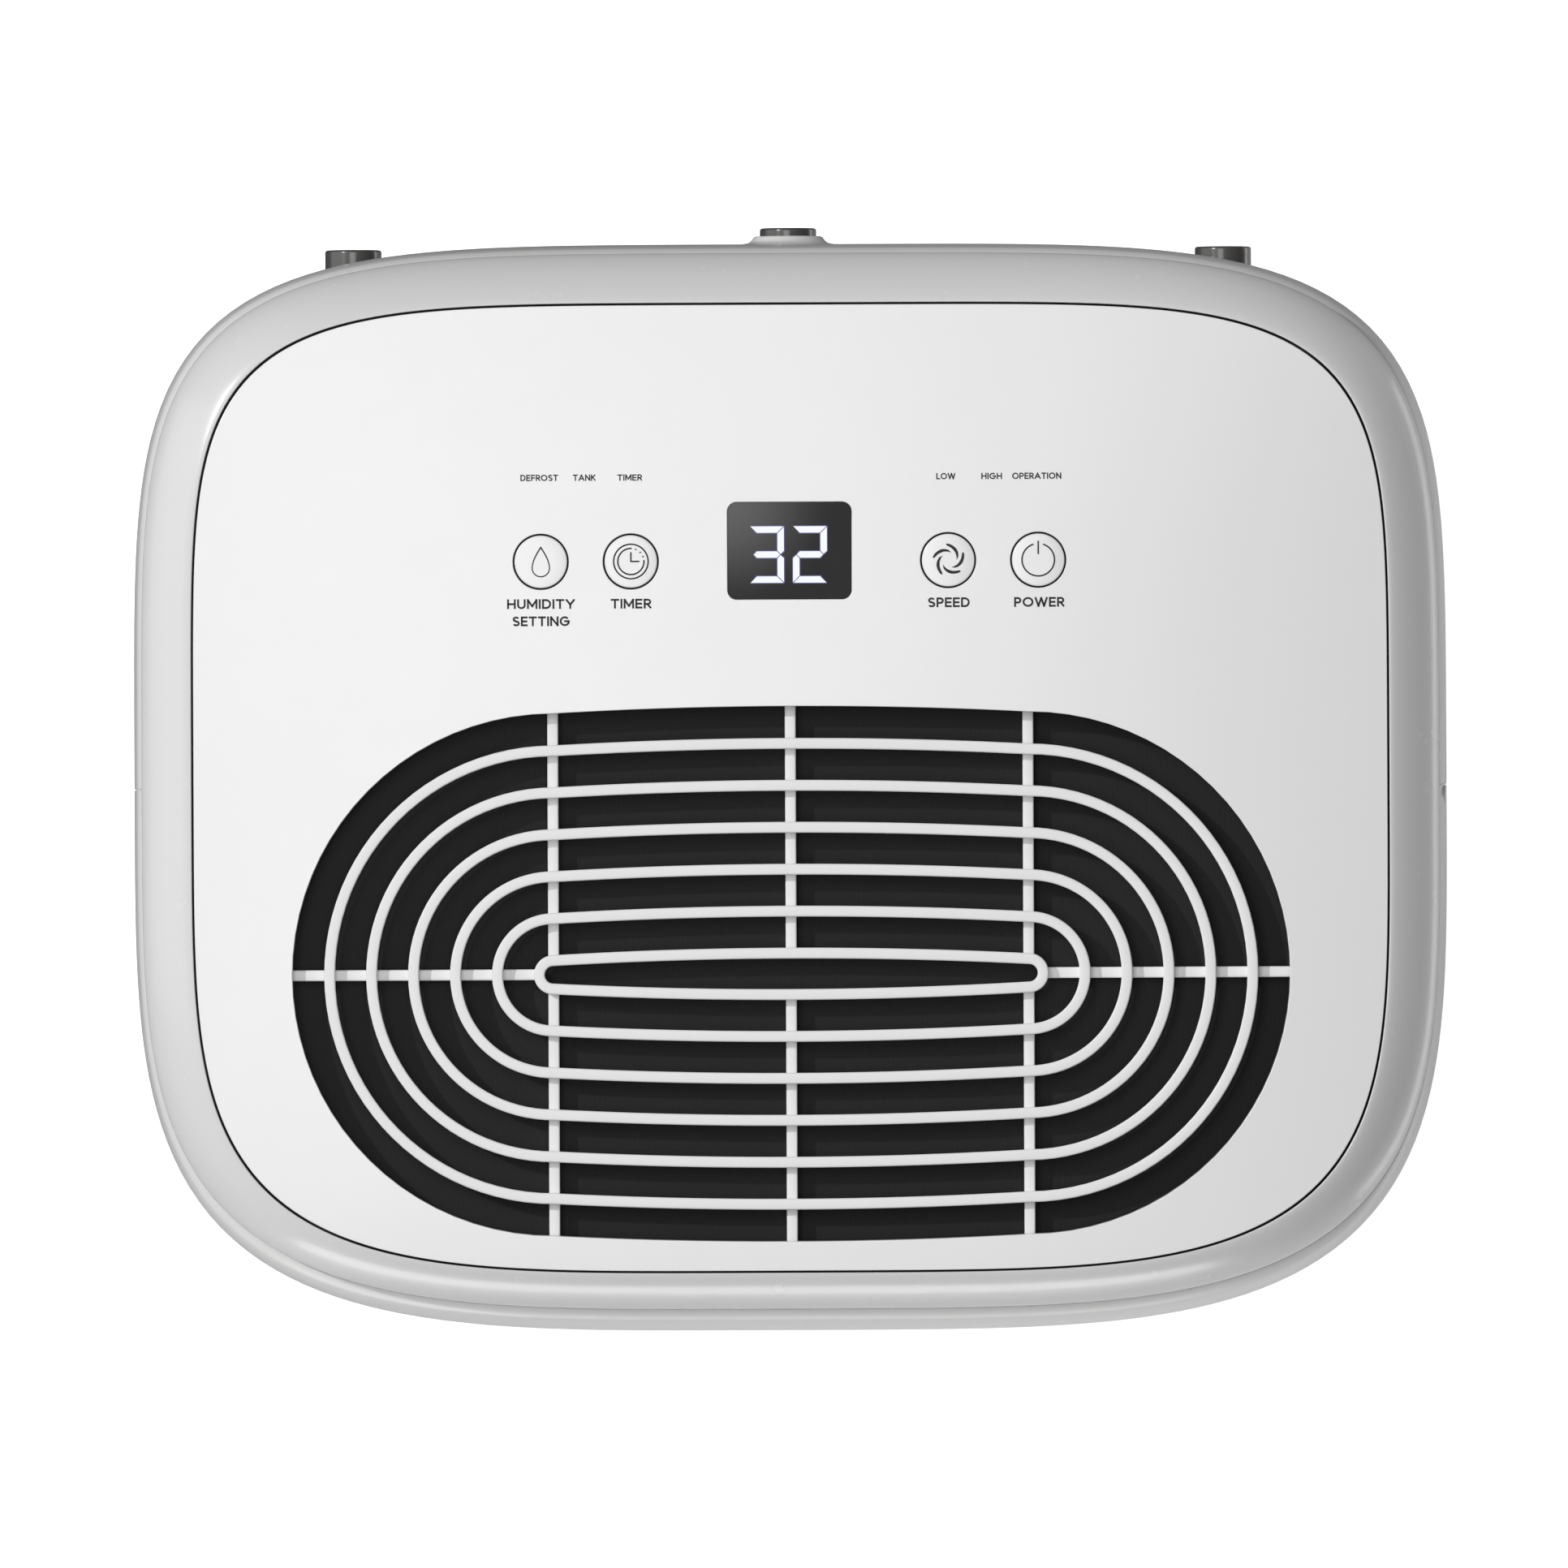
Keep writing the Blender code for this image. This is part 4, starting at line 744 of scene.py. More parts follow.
def makeKeys():
    for key, x in keyX.items():
        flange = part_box(f"key_{key}")
        low = flange[0][2]
        profile = np.concatenate([
            [(0.0, keyTop)],
            roundProfile([(0.0030, keyTop), (keyRadius, keyTop), (keyRadius, 0.4942), (0.0078, 0.4942),
                          (0.0078, 0.4926), (0.0020, 0.4926), (0.0020, low)], 0.00035),
            [(0.0, low)]])
        mesh = turnedMesh(f"keyCap_{key}", profile, steps=72, at=(x, keyY, 0))
        cap = place(f"keyCap_{key}", mesh, f"key_{key}", panelWhite, [f"key_{key}"])
        # painted shade: the key's side and flange below the cap turn black to stand for the dark gap round it
        paintGapShade(cap, lambda x, y, z: z < keyTop - 0.0005)


print("top ready")


# ---- printed marks

ink = {"line": 0.00038, "lift": 0.00003, "thick": 0.00004}


def stroke(points, width, taper=None):
    # outline of a line of even or tapering width round an open path
    points = np.asarray(points, float)
    along = np.gradient(points, axis=0)
    along /= np.linalg.norm(along, axis=1)[:, None]
    side = np.stack([-along[:, 1], along[:, 0]], -1)
    half = width / 2 * (np.ones(len(points)) if taper is None else taper)
    left, right = points + side * half[:, None], points - side * half[:, None]
    return np.concatenate([left, right[::-1]])


def bar(start, end, width, square=False):
    # a straight stroke with flat ends, or with square ends that reach half its width further
    start, end = np.asarray(start, float), np.asarray(end, float)
    along = (end - start) / np.linalg.norm(end - start) * width / 2
    side = np.array([-along[1], along[0]])
    reach = along * (0.98 if square else 0)
    return np.array([end + reach - side, end + reach + side, start - reach + side, start - reach - side])


def ringMark(radius, centre, width):
    # radius in millimetres
    return [circle(*centre, radius * 0.001 + width / 2, 72), circle(*centre, radius * 0.001 - width / 2, 72)]


def printMark(name, shapes, height, rides, material=inkGrey, thick=None, crowned=False):
    # each shape is an outline and its holes; all become one thin raised print, measured from the crown if crowned
    low, high = height - 0.00002, height + (thick or ink["thick"])
    meshes = [slab(f"{name}{i}", loops[0], loops[1:], low, high) for i, loops in enumerate(shapes)]
    points, faces, shift = [], [], 0
    for mesh in meshes:
        spots = np.empty(len(mesh.vertices) * 3)
        mesh.vertices.foreach_get("co", spots)
        points.append(spots.reshape(-1, 3))
        faces += [[v + shift for v in face.vertices] for face in mesh.polygons]
        shift += len(mesh.vertices)
        bpy.data.meshes.remove(mesh)
    points = np.concatenate(points)
    if crowned:
        points[:, 2] += crownZ(points[:, 0], points[:, 1])
    return place(name, makeMesh(name, points, faces), rides, material, smooth=0)


def arc(centre, radius, start, end, steps=60):
    t = np.radians(np.linspace(start, end, steps))
    return np.stack([centre[0] + radius * np.cos(t), centre[1] + radius * np.sin(t)], -1)


def makeIcons():
    line = ink["line"]

    def at(key, points):
        return np.asarray(points) * 0.001 + (keyX[key], keyY)

    # droplet: a round belly of radius r that runs into two sides drawn to a point
    def drop(radius, tip, low):
        belly = arc((0, low), radius, 180, 360, 40)
        side = np.linspace(0, 1, 24)[1:]
        x = radius * (1 - side) * (1 + 0.95 * side - 0.35 * side ** 2)
        y = low + (tip - low) * side
        return at("humidity", np.concatenate([belly, np.stack([x, y], -1), np.stack([-x, y], -1)[-2::-1]]))

    printMark("iconDroplet", [[drop(2.28, 3.85, -1.55), drop(1.98, 3.22, -1.55)]], keyTop, "key_humidity")
    # clock: two rings, the inner one open for three dots, and two hands
    shapes = [ringMark(4.25, at("timer", (0, 0)), line),
              [stroke(at("timer", arc((0, 0), 3.22, 86, 366, 90)), line)]]
    for angle in (68, 44, 22):
        shapes.append([circle(*at("timer", (3.22 * math.cos(math.radians(angle)),
                                            3.22 * math.sin(math.radians(angle)))), 0.00021, 16)])
    shapes += [[bar(at("timer", (0, -0.15)), at("timer", (0, 2.30)), line)],
               [bar(at("timer", (0.15, 0)), at("timer", (2.10, 0)), line)]]
    printMark("iconClock", shapes, keyTop, "key_timer")
    # five blades, blunt outside and drawn to a point inside: r = 3.93 - 2.08 s^0.85 over 98 degrees
    shapes = []
    share = np.linspace(0, 1, 30)
    reach = 3.93 - 2.08 * share ** 0.85
    width = np.interp(share, (0, 0.04, 0.12, 0.40, 0.75, 1), (0.36, 0.68, 0.82, 1.0, 0.66, 0.04))
    for k in range(5):
        turn = np.radians(100 + 72 * k - 98 * share)
        blade = np.stack([0.20 + reach * np.cos(turn), 0.05 + reach * np.sin(turn)], -1)
        shapes.append([stroke(at("speed", blade), 0.00080, taper=width)])
    printMark("iconBlades", shapes, keyTop, "key_speed")
    shapes = [[stroke(at("power", arc((0, 0), 4.0, 107, 433, 110)), line)],
              [bar(at("power", (0, 1.35)), at("power", (0, 4.65)), line)]]
    printMark("iconPower", shapes, keyTop, "key_power")


# plain block capitals on a unit height: width, then straight strokes and arcs (centre, radii, start, end)
letters = {
    "A": (0.90, [((0.0, 0), (0.45, 1)), ((0.45, 1), (0.90, 0)), ((0.17, 0.30), (0.73, 0.30))], []),
    "D": (0.74, [((0, 0), (0, 1)), ((0, 1), (0.30, 1)), ((0, 0), (0.30, 0))], [((0.30, 0.5), 0.44, 0.5, -90, 90)]),
    "E": (0.54, [((0, 0), (0, 1)), ((0, 1), (0.54, 1)), ((0, 0.5), (0.50, 0.5)), ((0, 0), (0.54, 0))], []),
    "F": (0.52, [((0, 0), (0, 1)), ((0, 1), (0.52, 1)), ((0, 0.5), (0.48, 0.5))], []),
    "G": (0.90, [((0.50, 0.5), (0.90, 0.5)), ((0.90, 0.5), (0.90, 0.42))], [((0.46, 0.5), 0.46, 0.5, 42, 350)]),
    "H": (0.70, [((0, 0), (0, 1)), ((0.70, 0), (0.70, 1)), ((0, 0.5), (0.70, 0.5))], []),
    "I": (0.0, [((0, 0), (0, 1))], []),
    "K": (0.66, [((0, 0), (0, 1)), ((0, 0.42), (0.62, 1)), ((0.20, 0.58), (0.66, 0))], []),
    "L": (0.48, [((0, 0), (0, 1)), ((0, 0), (0.48, 0))], []),
    "M": (0.88, [((0, 0), (0, 1)), ((0.88, 0), (0.88, 1)), ((0, 1), (0.44, 0.22)), ((0.44, 0.22), (0.88, 1))], []),
    "N": (0.72, [((0, 0), (0, 1)), ((0.72, 0), (0.72, 1)), ((0, 1), (0.72, 0))], []),
    "O": (0.98, [], [((0.49, 0.5), 0.49, 0.5, 0, 360)]),
    "P": (0.58, [((0, 0), (0, 1)), ((0, 1), (0.30, 1)), ((0, 0.43), (0.30, 0.43))],
          [((0.30, 0.715), 0.28, 0.285, -90, 90)]),
    "R": (0.60, [((0, 0), (0, 1)), ((0, 1), (0.30, 1)), ((0, 0.45), (0.30, 0.45)), ((0.28, 0.45), (0.60, 0))],
          [((0.30, 0.725), 0.28, 0.275, -90, 90)]),
    "S": (0.60, [((0.26, 0.53), (0.36, 0.47))], [((0.30, 0.755), 0.27, 0.245, 25, 258), ((0.31, 0.245), 0.29, 0.245,
                                                                                      78, -155)]),
    "T": (0.68, [((0, 1), (0.68, 1)), ((0.34, 0), (0.34, 1))], []),
    "U": (0.68, [((0, 0.34), (0, 1)), ((0.68, 0.34), (0.68, 1))], [((0.34, 0.34), 0.34, 0.34, 180, 360)]),
    "W": (1.22, [((0, 1), (0.30, 0)), ((0.30, 0), (0.61, 1)), ((0.61, 1), (0.92, 0)), ((0.92, 0), (1.22, 1))], []),
    "Y": (0.76, [((0, 1), (0.38, 0.42)), ((0.76, 1), (0.38, 0.42)), ((0.38, 0.42), (0.38, 0))], []),
}


def makeLabel(name, words, centre, width, height, weight=0.195, space=0.34):
    # the words as strokes, scaled to a given width over all and capital height, on the crowned panel
    pen, shapes = 0.0, []
    marks = []
    for letter in words:
        across, lines, arcs = letters[letter]
        marks += [(np.array(line, float) + (pen, 0), False) for line in lines]
        for middle, halfW, halfH, start, end in arcs:
            t = np.radians(np.linspace(start, end, 28))
            path = np.stack([pen + middle[0] + halfW * np.cos(t), middle[1] + halfH * np.sin(t)], -1)
            marks.append((path, True))
        pen += across + space
    over = pen - space
    stretchX, stretchY = (width - weight * height) / over, height * (1 - weight)
    for path, curved in marks:
        path = (path - (over / 2, 0.5)) * (stretchX, stretchY) + centre
        if curved:
            outline = stroke(path, weight * height)
            closed = np.allclose(path[0], path[-1])
            shapes.append([outline[len(path):-1], outline[:len(path) - 1]] if closed else [outline])
        else:
            shapes.append([bar(path[0], path[1], weight * height, square=True)])
    printMark(name, shapes, ink["lift"], "casing", crowned=True)


def makeLabels():
    below = keyY - 0.0104
    under = {
        "labelHumidity": ("HUMIDITY", keyX["humidity"], below, 0.0167),
        "labelSetting": ("SETTING", keyX["humidity"], below - 0.00425, 0.0141),
        "labelTimer": ("TIMER", keyX["timer"], below, 0.0100),
        "labelSpeed": ("SPEED", keyX["speed"] + 0.0001, below, 0.0103),
        "labelPower": ("POWER", keyX["power"] + 0.0002, below, 0.0124),
    }
    for name, (words, x, y, width) in under.items():
        makeLabel(name, words, (x, y), width, 0.00240)
    row = keyY + 0.0207
    above = {
        "markDefrost": ("DEFROST", -0.0616, 0.0093), "markTank": ("TANK", -0.0505, 0.0056),
        "markTimer": ("TIMER", -0.0393, 0.0061), "markLow": ("LOW", 0.0386, 0.0047),
        "markHigh": ("HIGH", 0.0499, 0.0051), "markOperation": ("OPERATION", 0.0610, 0.0121),
    }
    for name, (words, x, width) in above.items():
        makeLabel(name, words, (x, row), width, 0.00155, weight=0.19)


# ---- display

digit = {"width": 0.00836, "height": 0.0139, "bar": 0.00158, "split": 0.00014, "drop": 0.00095}


def segments(lit, cx, cy, grow=0.0):
    # seven-segment outlines: long hexagons with 45 degree ends, mitred at the digit's corners
    halfW, halfH, bar = digit["width"] / 2, digit["height"] / 2, digit["bar"]
    gap = digit["split"] - grow
    g = grow
    hb = bar / 2

    def across(y, sign):
        # sign +1 top bar, -1 bottom bar, 0 middle bar
        if sign:
            outer, inner = y + sign * g, y - sign * bar - sign * g
            return [(-halfW + gap, outer), (halfW - gap, outer), (halfW - bar - gap, inner),
                    (-halfW + bar + gap, inner)]
        tip = halfW - hb - gap
        return [(-tip, y), (-tip + hb, y + hb + g), (tip - hb, y + hb + g), (tip, y), (tip - hb, y - hb - g),
                (-tip + hb, y - hb - g)]

    def upright(side, up):
        outer, inner = side * (halfW + g), side * (halfW - bar - g)
        end, start = up * (halfH - gap), up * gap
        return [(outer, end), (outer, start + up * hb), (side * (halfW - hb), start), (inner, start + up * hb),
                (inner, end - up * bar)]

    shapes = {"a": across(halfH, 1), "d": across(-halfH, -1), "g": across(0, 0), "b": upright(1, 1),
              "c": upright(1, -1), "f": upright(-1, 1), "e": upright(-1, -1)}
    return [[np.array(shapes[key]) + (cx, cy)] for key in lit]


def makeDisplay():
    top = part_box("display_window")[1][2]
    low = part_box("display_window")[0][2]
    outline = roundedRect(0, window["y"], window["width"] / 2, window["height"] / 2, window["corner"], 12)
    lens = place("displayLens", slab("displayLens", outline, [], low, top), "casing", lensDarkWithPaintedGlare,
                 ["display_window"])
    soften(lens, 0.0001)
    cy = window["y"] - digit["drop"]
    lit = {"digitTens": ("abgcd", -0.00556), "digitUnits": ("abged", 0.00504)}
    for name, (keys, cx) in lit.items():
        printMark(name + "Halo", segments(keys, cx, cy, 0.00020), top, "casing", digitHalo, 0.00002)
        printMark(name, segments(keys, cx, cy), top + 0.00002, "casing", digitGlow, 0.00005)


makePanel()
makeRing()
makeGrille()
makeKeys()
makeIcons()
makeLabels()
makeDisplay()
print("top made")


# ---- casing walls

wallRows = np.concatenate([
    level["footEnd"] - (level["footEnd"] - level["foot"]) * np.sin(np.linspace(math.pi / 2, 0, 7)),
    np.arange(0.064, 0.456, 0.010),
    level["shoulder"] + (level["coverTop"] - level["shoulder"]) * np.sin(np.linspace(0, math.pi / 2, 12))])
grip = {"z": 0.395, "halfW": 0.048, "halfH": 0.017, "corner": 0.012}


def gripNotch(right, rear):
    # the half of the finger opening that one cover holds, from its lower end to its upper end
    loop = roundedRect(0, grip["z"], grip["halfW"], grip["halfH"], grip["corner"], 10)
    sign = 1 if rear else -1
    part = loop[loop[:, 0] * sign > seam]
    part = part[np.argsort(np.arctan2(part[:, 1] - grip["z"], part[:, 0] * sign))]
    ends = [(sign * seam / 2, grip["z"] - grip["halfH"]), (sign * seam / 2, grip["z"] + grip["halfH"])]
    part = np.concatenate([ends[:1], part, ends[1:]])
    return np.stack([uFromY(part[:, 0], right), part[:, 1]], -1)


def onWall(loop, rear):
    # an outline in (x, z) carried to distances round the casing
    loop = np.asarray(loop, float)
    return np.stack([uFromX(loop[:, 0], rear), loop[:, 1]], -1)


def makeFrontCover():
    left, right = uFromY(-seam / 2, False), uFromY(-seam / 2, True)
    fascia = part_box("tank_front")
    half, top = fascia[1][0] + 0.0005, fascia[1][2] + 0.0006
    low, high = level["foot"], level["coverTop"]
    edgeL, edgeR = uFromX(np.array([-half, half]), False)
    outline = np.concatenate([
        [(left, low), (edgeL, low), (edgeL, top), (edgeR, top), (edgeR, low), (right, low)],
        gripNotch(True, False), [(right, high), (left, high)], gripNotch(False, False)[::-1]])
    us = np.arange(left, right, 0.0042)
    mesh = cutSheet("frontCoverSkin", outline, [], us, wallRows, onCasing)
    cover = place("frontCoverSkin", mesh, "casing", coverWhite, ["front_cover"])
    giveWall(cover, wall)
    soften(cover, 0.0005)


def makeRearCover():
    right, left = uFromY(seam / 2, True), uFromY(seam / 2, False)
    low, high = level["foot"], level["coverTop"]
    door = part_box("intake_cover")
    gap = 0.0005
    bumperZ = 0.450
    outline = np.concatenate([
        [(right, low), (left, low)], gripNotch(False, True), [(left, high), (right, high)],
        gripNotch(True, True)[::-1]])
    holes = [roundedRect(0, (door[1][2] + 0.2126) / 2, door[1][0] + gap, (door[1][2] - 0.2126) / 2 + gap, 0.0016, 5)]
    for bumper in ("left", "centre", "right"):
        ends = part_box(f"wall_bumper_{bumper}")
        holes.append(circle((ends[0][0] + ends[1][0]) / 2, bumperZ, 0.0076, 36))
    holes += [circle(0.095, 0.185, 0.0085, 36), circle(-0.100, 0.070, 0.0068, 36)]
    holes = [onWall(loop, True) for loop in holes]
    us = np.arange(right, left, 0.0042)
    mesh = cutSheet("rearCoverSkin", outline, holes, us, wallRows, onCasing)
    cover = place("rearCoverSkin", mesh, "casing", coverWhite, ["rear_cover"])
    giveWall(cover, wall)
    soften(cover, 0.0005)


def makeTankFront():
    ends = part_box("tank_front")
    half, low, high = ends[1][0], ends[0][2], ends[1][2]
    pull = roundedRect(0, 0.172, 0.048, 0.013, 0.010, 12)
    outline = onWall(densify(roundedRect(0, (low + high) / 2, half, (high - low) / 2, 0.0012, 4), 0.004), False)
    us = np.arange(outline[:, 0].min(), outline[:, 0].max(), 0.004)
    mesh = cutSheet("tankFrontSkin", outline, [onWall(pull, False)], us, wallRows, onCasing)
    face = place("tankFrontSkin", mesh, "tank", coverWhite, ["tank_front"])
    giveWall(face, 0.0030)
    soften(face, 0.0007, segments=4)


def makeIntakeCover():
    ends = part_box("intake_cover")
    half, low, high = ends[1][0], 0.2126, ends[1][2]
    outline = onWall(densify(roundedRect(0, (low + high) / 2, half, (high - low) / 2, 0.0014, 4), 0.004), True)
    holes = []
    for i in range(12):
        z = 0.2330 + 0.0162 * i
        for start, end in ((-0.098, -0.0357), (-0.0303, 0.0303), (0.0357, 0.098)):
            slot = roundedRect((start + end) / 2, z, (end - start) / 2, 0.0046, 0.0045, 7)
            holes.append(onWall(densify(slot, 0.004), True))
    us = np.arange(outline[:, 0].min(), outline[:, 0].max(), 0.004)
    rows = np.arange(low, high, 0.0054)
    mesh = cutSheet("intakeCoverSkin", outline, holes, us, rows, onCasing, edgeStep=0.003)
    cover = place("intakeCoverSkin", mesh, "intake_door", coverWhite, ["intake_cover"])
    giveWall(cover, wall)
    soften(cover, 0.0004, segments=2)
    for side in (-1, 1):
        x = side * 0.075
        outline = [(0.1262, 0.2062), (0.1290, 0.2062), (0.1290, 0.2150), (0.1310, 0.2160), (0.1310, 0.2210),
                   (0.1262, 0.2210)]
        hook = slab(f"intakeHook{side}", outline, [], x - 0.008, x + 0.008, facing="X")
        name = "intakeHookLeft" if side < 0 else "intakeHookRight"
        soften(place(name, hook, "intake_door", coverWhite), 0.0006)


def makeGrips():
    for name, side in (("left", -1), ("right", 1)):
        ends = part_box(f"side_grip_{name}")
        flange, floor = (ends[1][0], ends[0][0]) if side > 0 else (ends[0][0], ends[1][0])
        out, back = abs(flange), abs(floor)
        deep = back + 0.0022
        # rows of (grow beyond the opening, distance from the middle plane)
        rows = [(0.0000, out), (0.0038, out), (0.0038, back), (-0.0120, back)]
        inner = [(0.0004, out), (0.0004, out - 0.001), (-0.0002, deep + 0.0060), (-0.0010, deep + 0.0022),
                 (-0.0030, deep + 0.0005), (-0.0060, deep)]
        rings = []
        for grow, x in rows[::-1] + inner:
            loop = roundedRect(0, grip["z"], grip["halfW"] + grow, grip["halfH"] + grow, grip["corner"] + grow * 0.8
                               if grow > -0.011 else 0.002, 12)
            rings.append(np.column_stack([np.full(len(loop), side * x), loop]))
        count = len(rings[0])
        faces = gridFaces(len(rings), count)
        faces += [list(range(count)), list(range((len(rings) - 1) * count, len(rings) * count))]
        mesh = outward(makeMesh(f"gripPocket{name.title()}", np.concatenate(rings), faces))
        place(f"gripPocket{name.title()}", mesh, "casing", pocketWhite, [f"side_grip_{name}"],
              smooth=60)


makeFrontCover()
makeRearCover()
makeTankFront()
makeIntakeCover()
makeGrips()
print("casing made")


# ---- rear fittings

def makeBumpers():
    for bumper in ("left", "centre", "right"):
        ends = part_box(f"wall_bumper_{bumper}")
        x, z = (ends[0][0] + ends[1][0]) / 2, (ends[0][2] + ends[1][2]) / 2
        inner, end = ends[0][1], ends[1][1]
        corners = [(0.0044, end - 0.0005), (0.0052, end), (0.0070, end), (0.0070, inner + 0.0025),
                   (0.0090, inner + 0.0025), (0.0090, inner)]
        profile = np.concatenate([[(0.0, end - 0.0005)], roundProfile(corners, 0.0007), [(0.0, inner)]])
        mesh = turnedMesh(f"wallBumper{bumper.title()}", profile, steps=64, axis="Y", at=(x, 0, z))
        place(f"wallBumper{bumper.title()}", mesh, "casing", bumperRubber, [f"wall_bumper_{bumper}"])
    # flared boss round the centre bumper
    corners = [(0.0076, 0.1335), (0.0076, 0.1368), (0.0084, 0.1368), (0.0096, 0.1352), (0.0150, 0.1343),
               (0.0150, 0.1335)]
    profile = roundProfile(corners, 0.0016, 6)
    mesh = turnedMesh("bumperBoss", profile, steps=72, axis="Y", at=(0, 0, 0.450))
    place("bumperBoss", mesh, "casing", coverWhite)


def makeDrain():
    x, z = 0.095, 0.185
    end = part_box("drain_spigot")[1][1]
    corners = [(0.0046, end), (0.0070, end), (0.0070, 0.1250), (0.0119, 0.1250), (0.0119, 0.1225),
               (0.0070, 0.1225), (0.0070, 0.1080), (0.0046, 0.1080)]
    mesh = turnedMesh("drainSpout", roundProfile(corners, 0.0004), steps=56, axis="Y", at=(x, 0, z))
    place("drainSpout", mesh, "casing", chassisGrey, ["drain_spigot"])
    low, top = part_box("drain_cap")[0][1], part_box("drain_cap")[1][1]
    corners = [(0.0060, top - 0.0003), (0.0088, top), (0.0100, top - 0.0012), (0.0100, low), (0.0074, low),
               (0.0074, end + 0.0004)]
    profile = np.concatenate([[(0.0, top - 0.0003)], roundProfile(corners, 0.0005), [(0.0, end + 0.0004)]])

    def flutes(radius, height, t):
        # shallow finger flutes: r (1 - 0.03 max(0, cos 18 t)) on the outer wall
        return np.where(radius > 0.0098, radius * (1 - 0.030 * np.clip(np.cos(18 * t), 0, 1)), radius)

    mesh = turnedMesh("drainCapSkin", profile, steps=180, axis="Y", at=(x, 0, z), wave=flutes)
    place("drainCapSkin", mesh, "drain_cap", bumperRubber, ["drain_cap"])


def makeGland():
    corners = [(0.0037, 0.1366), (0.0062, 0.1367), (0.0089, 0.1357), (0.0090, 0.1335), (0.0063, 0.1335),
               (0.0063, 0.1180), (0.0037, 0.1180)]
    mesh = turnedMesh("cableGlandSkin", roundProfile(corners, 0.0005), steps=56, axis="Y", at=(-0.100, 0, 0.070))
    place("cableGlandSkin", mesh, "casing", castorGrey, ["cable_gland"])


# ---- castors

castor = {"wheel": 0.016, "trail": 0.012, "cheek": 0.0078, "cheekOut": 0.0103}


def makeCastor(end, side):
    name = f"{end}_{side}"
    fork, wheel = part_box(f"castor_fork_{name}"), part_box(f"castor_wheel_{name}")
    x = (wheel[0][0] + wheel[1][0]) / 2
    axleY = (wheel[0][1] + wheel[1][1]) / 2
    y = axleY - castor["trail"]
    radius = castor["wheel"]
    right = [(0.0028, 0.0068), (0.0052, 0.0068), (0.0058, 0.0056), (0.0112, 0.0050), (0.0122, 0.0060),
             (0.0140, 0.0066), (0.0153, 0.0062), (0.0160, 0.0046)]
    tread = [(0.0160, 0.0018), (0.01575, 0.0015), (0.01575, -0.0015), (0.0160, -0.0018)]
    left = [(r, -h) for r, h in right[::-1]]
    mesh = turnedMesh(f"castorTyre_{name}", roundProfile(right + tread + left, 0.0006, 3), steps=72, axis="X",
                      at=(x, axleY, radius))
    place(f"castorTyre_{name}", mesh, f"wheel_{name}", tyreRubber, [f"castor_wheel_{name}"])
    # fork: stem, disc, two cheeks and the axle with round heads
    stem = np.concatenate([[(0.0, 0.0520)], roundProfile(
        [(0.0040, 0.0520), (0.0050, 0.0505), (0.0050, 0.0375), (0.0130, 0.0375), (0.0130, 0.0340)], 0.0008),
        [(0.0, 0.0340)]])
    place(f"castorYoke_{name}", turnedMesh(f"castorYoke_{name}", stem, steps=56, at=(x, y, 0)),
          f"fork_{name}", castorGrey, [f"castor_fork_{name}"])
    for k, sign in (("A", -1), ("B", 1)):
        inner, outer = sorted((x + sign * castor["cheek"], x + sign * castor["cheekOut"]))
        foot = arc((axleY, radius), 0.0058, 200, 340, 16)
        outline = np.concatenate([[(y + 0.0112, 0.0350), (y - 0.0062, 0.0350)], foot])
        mesh = slab(f"castorCheek{k}_{name}", outline, [], inner, outer, facing="X")
        soften(place(f"castorCheek{k}_{name}", mesh, f"fork_{name}", castorGrey), 0.0005)
    pin = np.concatenate([[(0.0, 0.0110)], roundProfile(
        [(0.0020, 0.0110), (0.0036, 0.0104), (0.0036, 0.0100), (0.0025, 0.0100), (0.0025, -0.0100), (0.0036, -0.0100),
         (0.0036, -0.0104), (0.0020, -0.0110)], 0.0003), [(0.0, -0.0110)]])
    place(f"castorPin_{name}", turnedMesh(f"castorPin_{name}", pin, steps=32, axis="X", at=(x, axleY, radius)),
          f"fork_{name}", steelBright)


makeBumpers()
makeDrain()
makeGland()
for side in ("left", "right"):
    for end in ("front", "rear"):
        makeCastor(end, side)
print("fittings made")


# ---- the CAD pieces that stay, each with its own finish

carried = {
    "chassisGrey": (chassisGrey, ["base_pan", "mid_deck", "drip_tray", "electronics_box", "tank_lid",
                                  "run_capacitor"]),
    "blackPlasticAndGapShade": (blackPlasticAndGapShade, ["display_module", "fan_scroll", "scroll_inlet", "outlet_duct", "float_switch",
                                "fan_wheel"]),
    "filter": (filterWeave, ["air_filter"]),
    "tank": (tankSmoke, ["water_tank"]),
    "rubber": (tyreRubber, ["compressor_mount_1", "compressor_mount_2", "compressor_mount_3"]),
    "fins": (finSilver, ["evaporator_fins", "condenser_fins"]),
    "copper": (copperTube, ["evaporator_tube", "condenser_tube", "discharge_pipe", "suction_pipe", "liquid_line"]),
    "steel": (steelBright, ["fan_shaft", "fan_motor", "frame_side_left", "frame_side_right"]),
    "enamel": (enamelBlack, ["compressor", "suction_accumulator"]),
    "board": (boardGreen, ["control_board"]),
    "foam": (floatFoam, ["tank_float"]),
}
for material, members in carried.values():
    for member in members:
        mesh = nodes[member].data
        mesh.materials.clear()
        mesh.materials.append(material)


# ---- studio

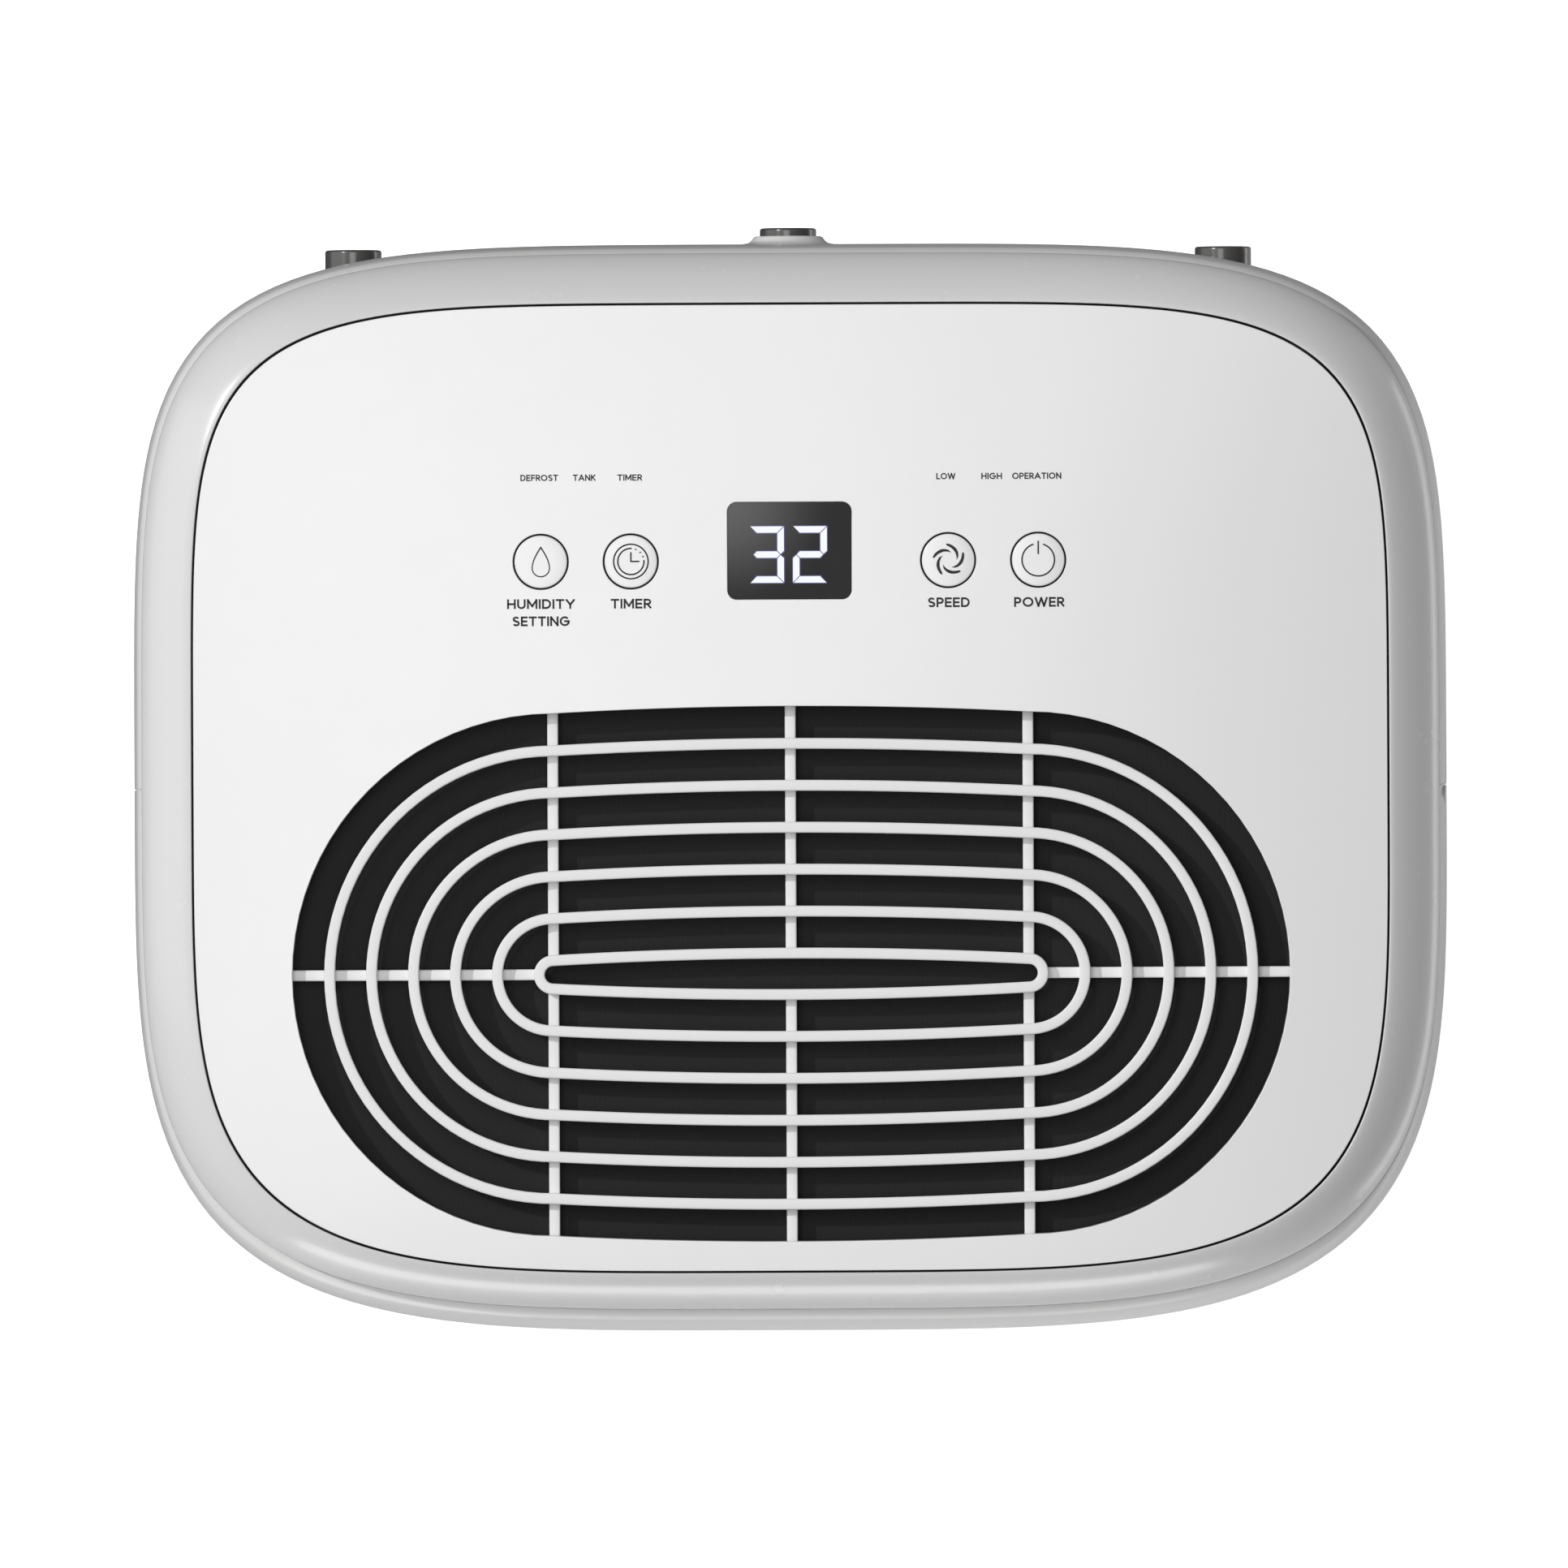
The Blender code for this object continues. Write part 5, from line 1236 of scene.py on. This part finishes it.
studio = {
    "floor": 8.0, "cameraHeight": 6.0, "cameraTurn": -0.25, "sky": (0.12, 0.16, -0.15), "floorGlow": 0.85,
    "bounceDark": 0.04, "bounceBright": 0.85,
    "key": {"at": (-0.16, 0.09, 1.70), "size": (0.50, 0.80), "power": 4.5},
    "side": {"at": (-1.60, 0.30, 0.75), "size": (1.0, 1.4), "power": 4.0},
    "front": {"at": (-0.20, -1.80, 0.25), "size": (1.6, 0.4), "power": 9.0},
    "right": {"at": (1.00, -0.10, 0.12), "size": (1.4, 0.20), "power": 2.2},
    "sun": {"towards": (0.62, -0.35, -0.70), "power": 1.25, "angle": 1.2},
}


def areaLight(name, part, target):
    lamp = bpy.data.lights.new(name, "AREA")
    lamp.shape = "RECTANGLE"
    lamp.size, lamp.size_y = part["size"]
    lamp.energy = part["power"]
    thing = bpy.data.objects.new(name, lamp)
    scene.collection.objects.link(thing)
    thing.location = part["at"]
    thing.rotation_euler = (Vector(target) - Vector(part["at"])).to_track_quat("-Z", "Y").to_euler()
    thing.visible_camera = False
    return thing


def floorMaterial():
    # white to the camera; what it throws back at the object runs from dark (rear left) to bright (front right)
    made, tree, shader = newMaterial("paleFloor")
    add, link = tree.nodes.new, tree.links.new
    where, path, split, run = (add("ShaderNodeTexCoord"), add("ShaderNodeLightPath"), add("ShaderNodeSeparateXYZ"),
                               add("ShaderNodeMath"))
    run.operation = "SUBTRACT"
    tone, base, glow = add("ShaderNodeMapRange"), add("ShaderNodeMix"), add("ShaderNodeMath")
    tone.inputs["From Min"].default_value = -0.25
    tone.inputs["From Max"].default_value = 0.35
    tone.inputs["To Min"].default_value = studio["bounceDark"]
    tone.inputs["To Max"].default_value = studio["bounceBright"]
    base.data_type = "RGBA"
    base.inputs["B"].default_value = (0.93, 0.93, 0.93, 1)
    glow.operation = "MULTIPLY"
    glow.inputs[1].default_value = studio["floorGlow"]
    link(where.outputs["Object"], split.inputs["Vector"])
    link(split.outputs["X"], run.inputs[0])
    link(split.outputs["Y"], run.inputs[1])
    link(run.outputs[0], tone.inputs["Value"])
    link(tone.outputs["Result"], base.inputs["A"])
    link(path.outputs["Is Camera Ray"], base.inputs["Factor"])
    link(path.outputs["Is Camera Ray"], glow.inputs[0])
    link(base.outputs["Result"], shader.inputs["Base Color"])
    link(glow.outputs[0], shader.inputs["Emission Strength"])
    shader.inputs["Emission Color"].default_value = (1, 1, 1, 1)
    shader.inputs["Roughness"].default_value = 0.7
    shader.inputs["Specular IOR Level"].default_value = 0.1
    return made


def makeStudio():
    half = studio["floor"]
    floorMesh = makeMesh("floor", [(-half, -half, 0), (half, -half, 0), (half, half, 0), (-half, half, 0)],
                         [[0, 1, 2, 3]])
    floor = bpy.data.objects.new("floor", floorMesh)
    scene.collection.objects.link(floor)
    floorMesh.materials.append(floorMaterial())
    # the sky is brightest overhead and to the left: base + rise z + side x
    world = bpy.data.worlds.new("softRoom")
    world.use_nodes = True
    scene.world = world
    add, link = world.node_tree.nodes.new, world.node_tree.links.new
    where, split, rise = add("ShaderNodeTexCoord"), add("ShaderNodeSeparateXYZ"), add("ShaderNodeMath")
    rise.operation = "MULTIPLY_ADD"
    rise.inputs[1].default_value = studio["sky"][1]
    rise.inputs[2].default_value = studio["sky"][0]
    lean = add("ShaderNodeMath")
    lean.operation = "MULTIPLY_ADD"
    lean.inputs[1].default_value = studio["sky"][2]
    lean.use_clamp = True
    link(where.outputs["Generated"], split.inputs["Vector"])
    link(split.outputs["Z"], rise.inputs[0])
    link(split.outputs["X"], lean.inputs[0])
    link(rise.outputs[0], lean.inputs[2])
    link(lean.outputs[0], world.node_tree.nodes["Background"].inputs["Strength"])
    world.node_tree.nodes["Background"].inputs["Color"].default_value = (1, 1, 1, 1)
    areaLight("keyLight", studio["key"], (-0.16, 0.05, 0.498))
    areaLight("sideLight", studio["side"], (-0.10, 0.0, 0.46))
    areaLight("frontLight", studio["front"], (0.0, -0.10, 0.46))
    areaLight("rightLight", studio["right"], (0.16, 0.0, 0.40))
    lamp = bpy.data.lights.new("hardLight", "SUN")
    lamp.energy = studio["sun"]["power"]
    lamp.angle = math.radians(studio["sun"]["angle"])
    sun = bpy.data.objects.new("hardLight", lamp)
    scene.collection.objects.link(sun)
    sun.rotation_euler = Vector(studio["sun"]["towards"]).to_track_quat("-Z", "Y").to_euler()
    lens = bpy.data.cameras.new("camera")
    camera = bpy.data.objects.new("camera", lens)
    scene.collection.objects.link(camera)
    top = level["edge"] + level["crown"]
    wide = 1932 * 0.0002
    lens.sensor_width = 36
    lens.lens = 36 * studio["cameraHeight"] / wide
    camera.location = (-0.0016, 0.0008, top + studio["cameraHeight"])
    camera.rotation_euler = (0, 0, math.radians(studio["cameraTurn"]))
    lens.clip_end = 20
    scene.camera = camera
    scene.view_settings.view_transform = "Standard"


makeStudio()
print("studio made")
